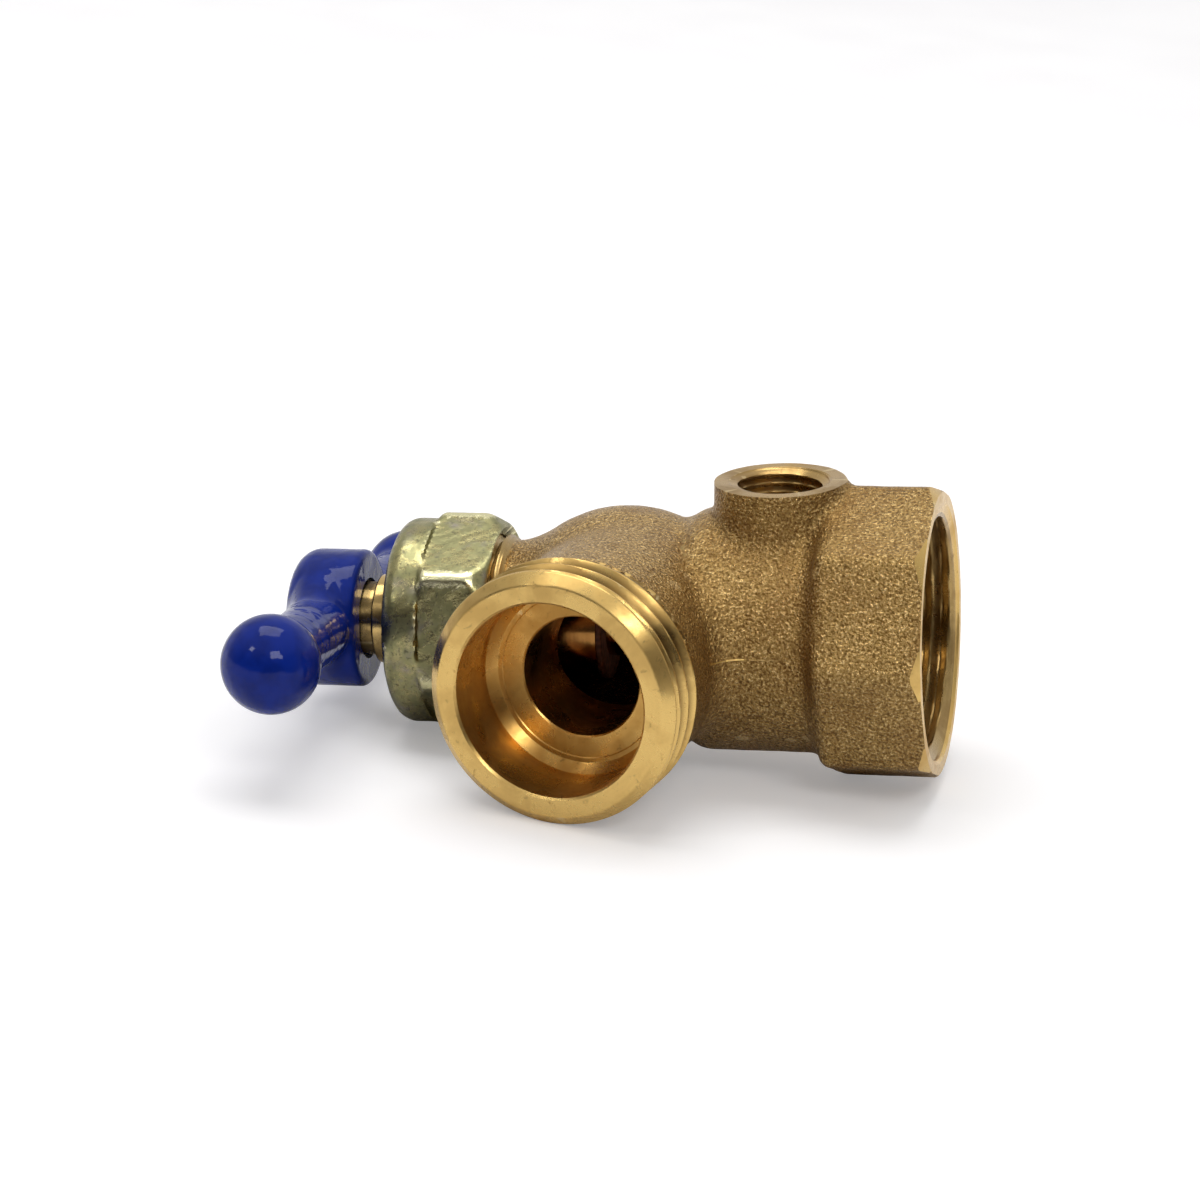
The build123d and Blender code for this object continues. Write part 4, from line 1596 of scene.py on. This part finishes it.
@dataclass(frozen=True)
class InnerPieces:
    """Pieces whose frame shape is right: they only get their finishes."""

    def dress(self) -> None:
        """Gives each kept node its material."""
        colours = {"light": (0.42, 0.2, 0.055), "dull": (0.2, 0.09, 0.022)}
        brass = TurnedBrass("inner_brass", **colours, rough=0.17, worn=0.0)
        steel = PlainStock("bright_steel", (0.55, 0.54, 0.5), (0.4, 0.39, 0.36), 1.0, 0.28, 3.0)
        graphite = PlainStock("graphite", (0.03, 0.03, 0.032), (0.07, 0.07, 0.075), rough=0.5)
        fibre = PlainStock("red_fibre", (0.24, 0.07, 0.035), (0.34, 0.12, 0.06), rough=0.75)
        rubber = PlainStock("brown_rubber", (0.26, 0.085, 0.035), (0.15, 0.05, 0.022), rough=0.55)
        zinc = PlainStock("cast_zinc", (0.36, 0.36, 0.37), (0.25, 0.25, 0.26), 1.0, 0.45)
        finishes = {
            brass: ("packing_washer", "stem_bushing", "washer_cup", "washer_screw"),
            steel: ("cup_retaining_ring", "lock_washer", "handle_screw"),
            graphite: ("packing_ring",),
            fibre: ("neck_gasket",),
            rubber: ("seat_washer",),
            zinc: ("handle_core",),
        }
        for finish, nodes in finishes.items():
            material = finish.material()
            for node in nodes:
                paint(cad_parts[node], material)
                log.info("%s: kept, %s", node, material.name)


@dataclass(frozen=True)
class Lamp:
    """Soft lamp: its place above the table and its width and height in metres, and its power in watts."""

    name: str
    place: Place
    size: tuple[float, float]
    power: float

    def hang(self, table: Matrix) -> None:
        """Hangs the lamp so that it looks at the sillcock.

        Args:
            table: The table's place.
        """
        data = bpy.data.lights.new(self.name, "AREA")
        data.shape = "RECTANGLE"
        data.size, data.size_y = self.size
        data.energy = self.power
        made = bpy.data.objects.new(self.name, data)
        bpy.context.scene.collection.objects.link(made)
        spot = table @ Vector(self.place)
        aim = (table.translation - spot).to_track_quat("-Z", "Y")
        made.matrix_world = Matrix.Translation(spot) @ aim.to_matrix().to_4x4()


@dataclass
class Studio:
    """Table, lamps, room and camera."""

    focal_pixels: float = 4116.4
    image_pixels: float = 1200.0
    camera_place: Place = (60.0, -402.7, 126.9)
    right: Place = (0.97466, 0.22005, -0.04010)
    down: Place = (0.02589, -0.28905, -0.95696)
    ahead: Place = (-0.22217, 0.93168, -0.28742)
    outlet_side: float = -0.019
    inlet_side: float = -0.0115
    table_middle: tuple[float, float] = (-0.03, -0.005)
    table_half: float = 3.0
    lamps: tuple[Lamp, ...] = (
        Lamp("overhead", (-0.1, 0.13, 0.8), (0.6, 0.45), 2.9),
        Lamp("window", (0.3, -0.55, 0.55), (0.34, 0.2), 1.35),
        Lamp("side_window", (-0.45, -0.4, 0.5), (0.08, 0.14), 0.3),
    )

    def camera(self) -> None:
        """Puts the camera where the photograph was taken."""
        data = bpy.data.cameras.new("camera")
        data.sensor_width = 36.0
        data.lens = data.sensor_width * self.focal_pixels / self.image_pixels
        data.clip_start, data.clip_end = 0.01, 20
        made = bpy.data.objects.new("camera", data)
        bpy.context.scene.collection.objects.link(made)
        columns = (Vector(self.right), -Vector(self.down), -Vector(self.ahead))
        turn = Matrix(columns).transposed().to_quaternion()
        made.matrix_world = Matrix.Translation(Vector(self.camera_place) * MM) @ turn.to_matrix().to_4x4()
        bpy.context.scene.camera = made

    def rest_plane(self, pieces: Sequence[bpy.types.Object]) -> tuple[Vector, Vector]:
        """Plane that the sillcock lies on: under the nut, the outlet's rim and the octagon.

        Args:
            pieces: The body and the nut.

        Returns:
            A point of the plane and its upward normal.
        """
        clouds = []
        for piece in pieces:
            points = np.empty(len(piece.data.vertices) * 3)
            piece.data.vertices.foreach_get("co", points)
            clouds.append(points.reshape(-1, 3))
        body, nut = clouds
        groups = [nut, body[body[:, 1] < self.outlet_side], body[body[:, 0] > self.inlet_side]]
        normal = np.array([0.0, 0.0, 1.0])
        for _ in range(6):
            lowest = [group[np.argmin(group @ normal)] for group in groups]
            normal = np.cross(lowest[1] - lowest[0], lowest[2] - lowest[0])
            normal = normal / np.linalg.norm(normal) * np.sign(normal[2])
        return Vector(lowest[0]), Vector(normal)

    def floor(self, pieces: Sequence[bpy.types.Object]) -> Matrix:
        """Lays the white table under the sillcock.

        Args:
            pieces: The body and the nut.

        Returns:
            The table's place, with Z up from it.
        """
        point, normal = self.rest_plane(pieces)
        centre = Vector((*self.table_middle, 0))
        centre.z = point.z - (normal.x * (centre.x - point.x) + normal.y * (centre.y - point.y)) / normal.z
        across = (Vector((1, 0, 0)) - normal * normal.x).normalized()
        turn = Matrix((across, normal.cross(across), normal)).transposed().to_4x4()
        place = Matrix.Translation(centre) @ turn
        half = self.table_half
        corners = [(-half, -half, 0), (half, -half, 0), (half, half, 0), (-half, half, 0)]
        mesh = bpy.data.meshes.new("table")
        mesh.from_pydata(corners, [], [(0, 1, 2, 3)])
        mesh.transform(place)
        table = link("table", mesh)
        surface = Surface("white_table")
        seen = surface.add("ShaderNodeLightPath").outputs
        glow = surface.math("MULTIPLY", seen["Is Camera Ray"], 0.28)
        fibre = surface.noise(surface.place, 0.05)
        colour = surface.blend(surface.span(fibre, 0.3, 0.7), (0.84, 0.835, 0.835), (0.81, 0.8, 0.805))
        white = {"Emission_Color": (1.0, 0.99, 0.99), "Emission_Strength": glow}
        paint(table, surface.close(Base_Color=colour, Roughness=0.7, **white))
        return place

    def world(self) -> None:
        """Sets the room: white to the camera, and otherwise pale behind and above and dark in front."""
        world = bpy.data.worlds.new("room")
        world.use_nodes = True
        graph = Graph(world.node_tree)
        graph.tree.nodes.clear()
        direction = graph.add("ShaderNodeTexCoord").outputs["Generated"]
        axes = graph.add("ShaderNodeSeparateXYZ", {0: direction}).outputs
        behind = graph.span(axes["Y"], -0.6, 0.8)
        above = graph.span(axes["Z"], 0.3, 0.95)
        room = graph.blend(behind, (0.05, 0.045, 0.045), (0.7, 0.7, 0.7))
        room = graph.blend(above, room, (0.62, 0.62, 0.63))
        camera = graph.add("ShaderNodeLightPath").outputs["Is Camera Ray"]
        shown = graph.blend(camera, room, (1.0, 1.0, 1.0))
        background = graph.add("ShaderNodeBackground", {"Color": shown, "Strength": 1.0})
        graph.add("ShaderNodeOutputWorld", {"Surface": background.outputs[0]})
        bpy.context.scene.world = world

    def build(self, pieces: Sequence[bpy.types.Object]) -> None:
        """Sets up the whole studio.

        Args:
            pieces: The body and the nut, which rest on the table.
        """
        self.camera()
        table = self.floor(pieces)
        for lamp in self.lamps:
            lamp.hang(table)
        self.world()
        bpy.context.scene.view_settings.view_transform = "Standard"


def main() -> None:
    """Builds the sillcock's pieces in order and sets the studio round them."""
    logging.basicConfig(level=logging.INFO, format="%(name)s %(message)s")
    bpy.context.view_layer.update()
    body = ValveBody().build()
    nut = GlandNut().build()
    Stem().build()
    TeeHandle().build()
    InnerPieces().dress()
    Studio().build([body, nut])


if __name__ == "__main__":
    main()
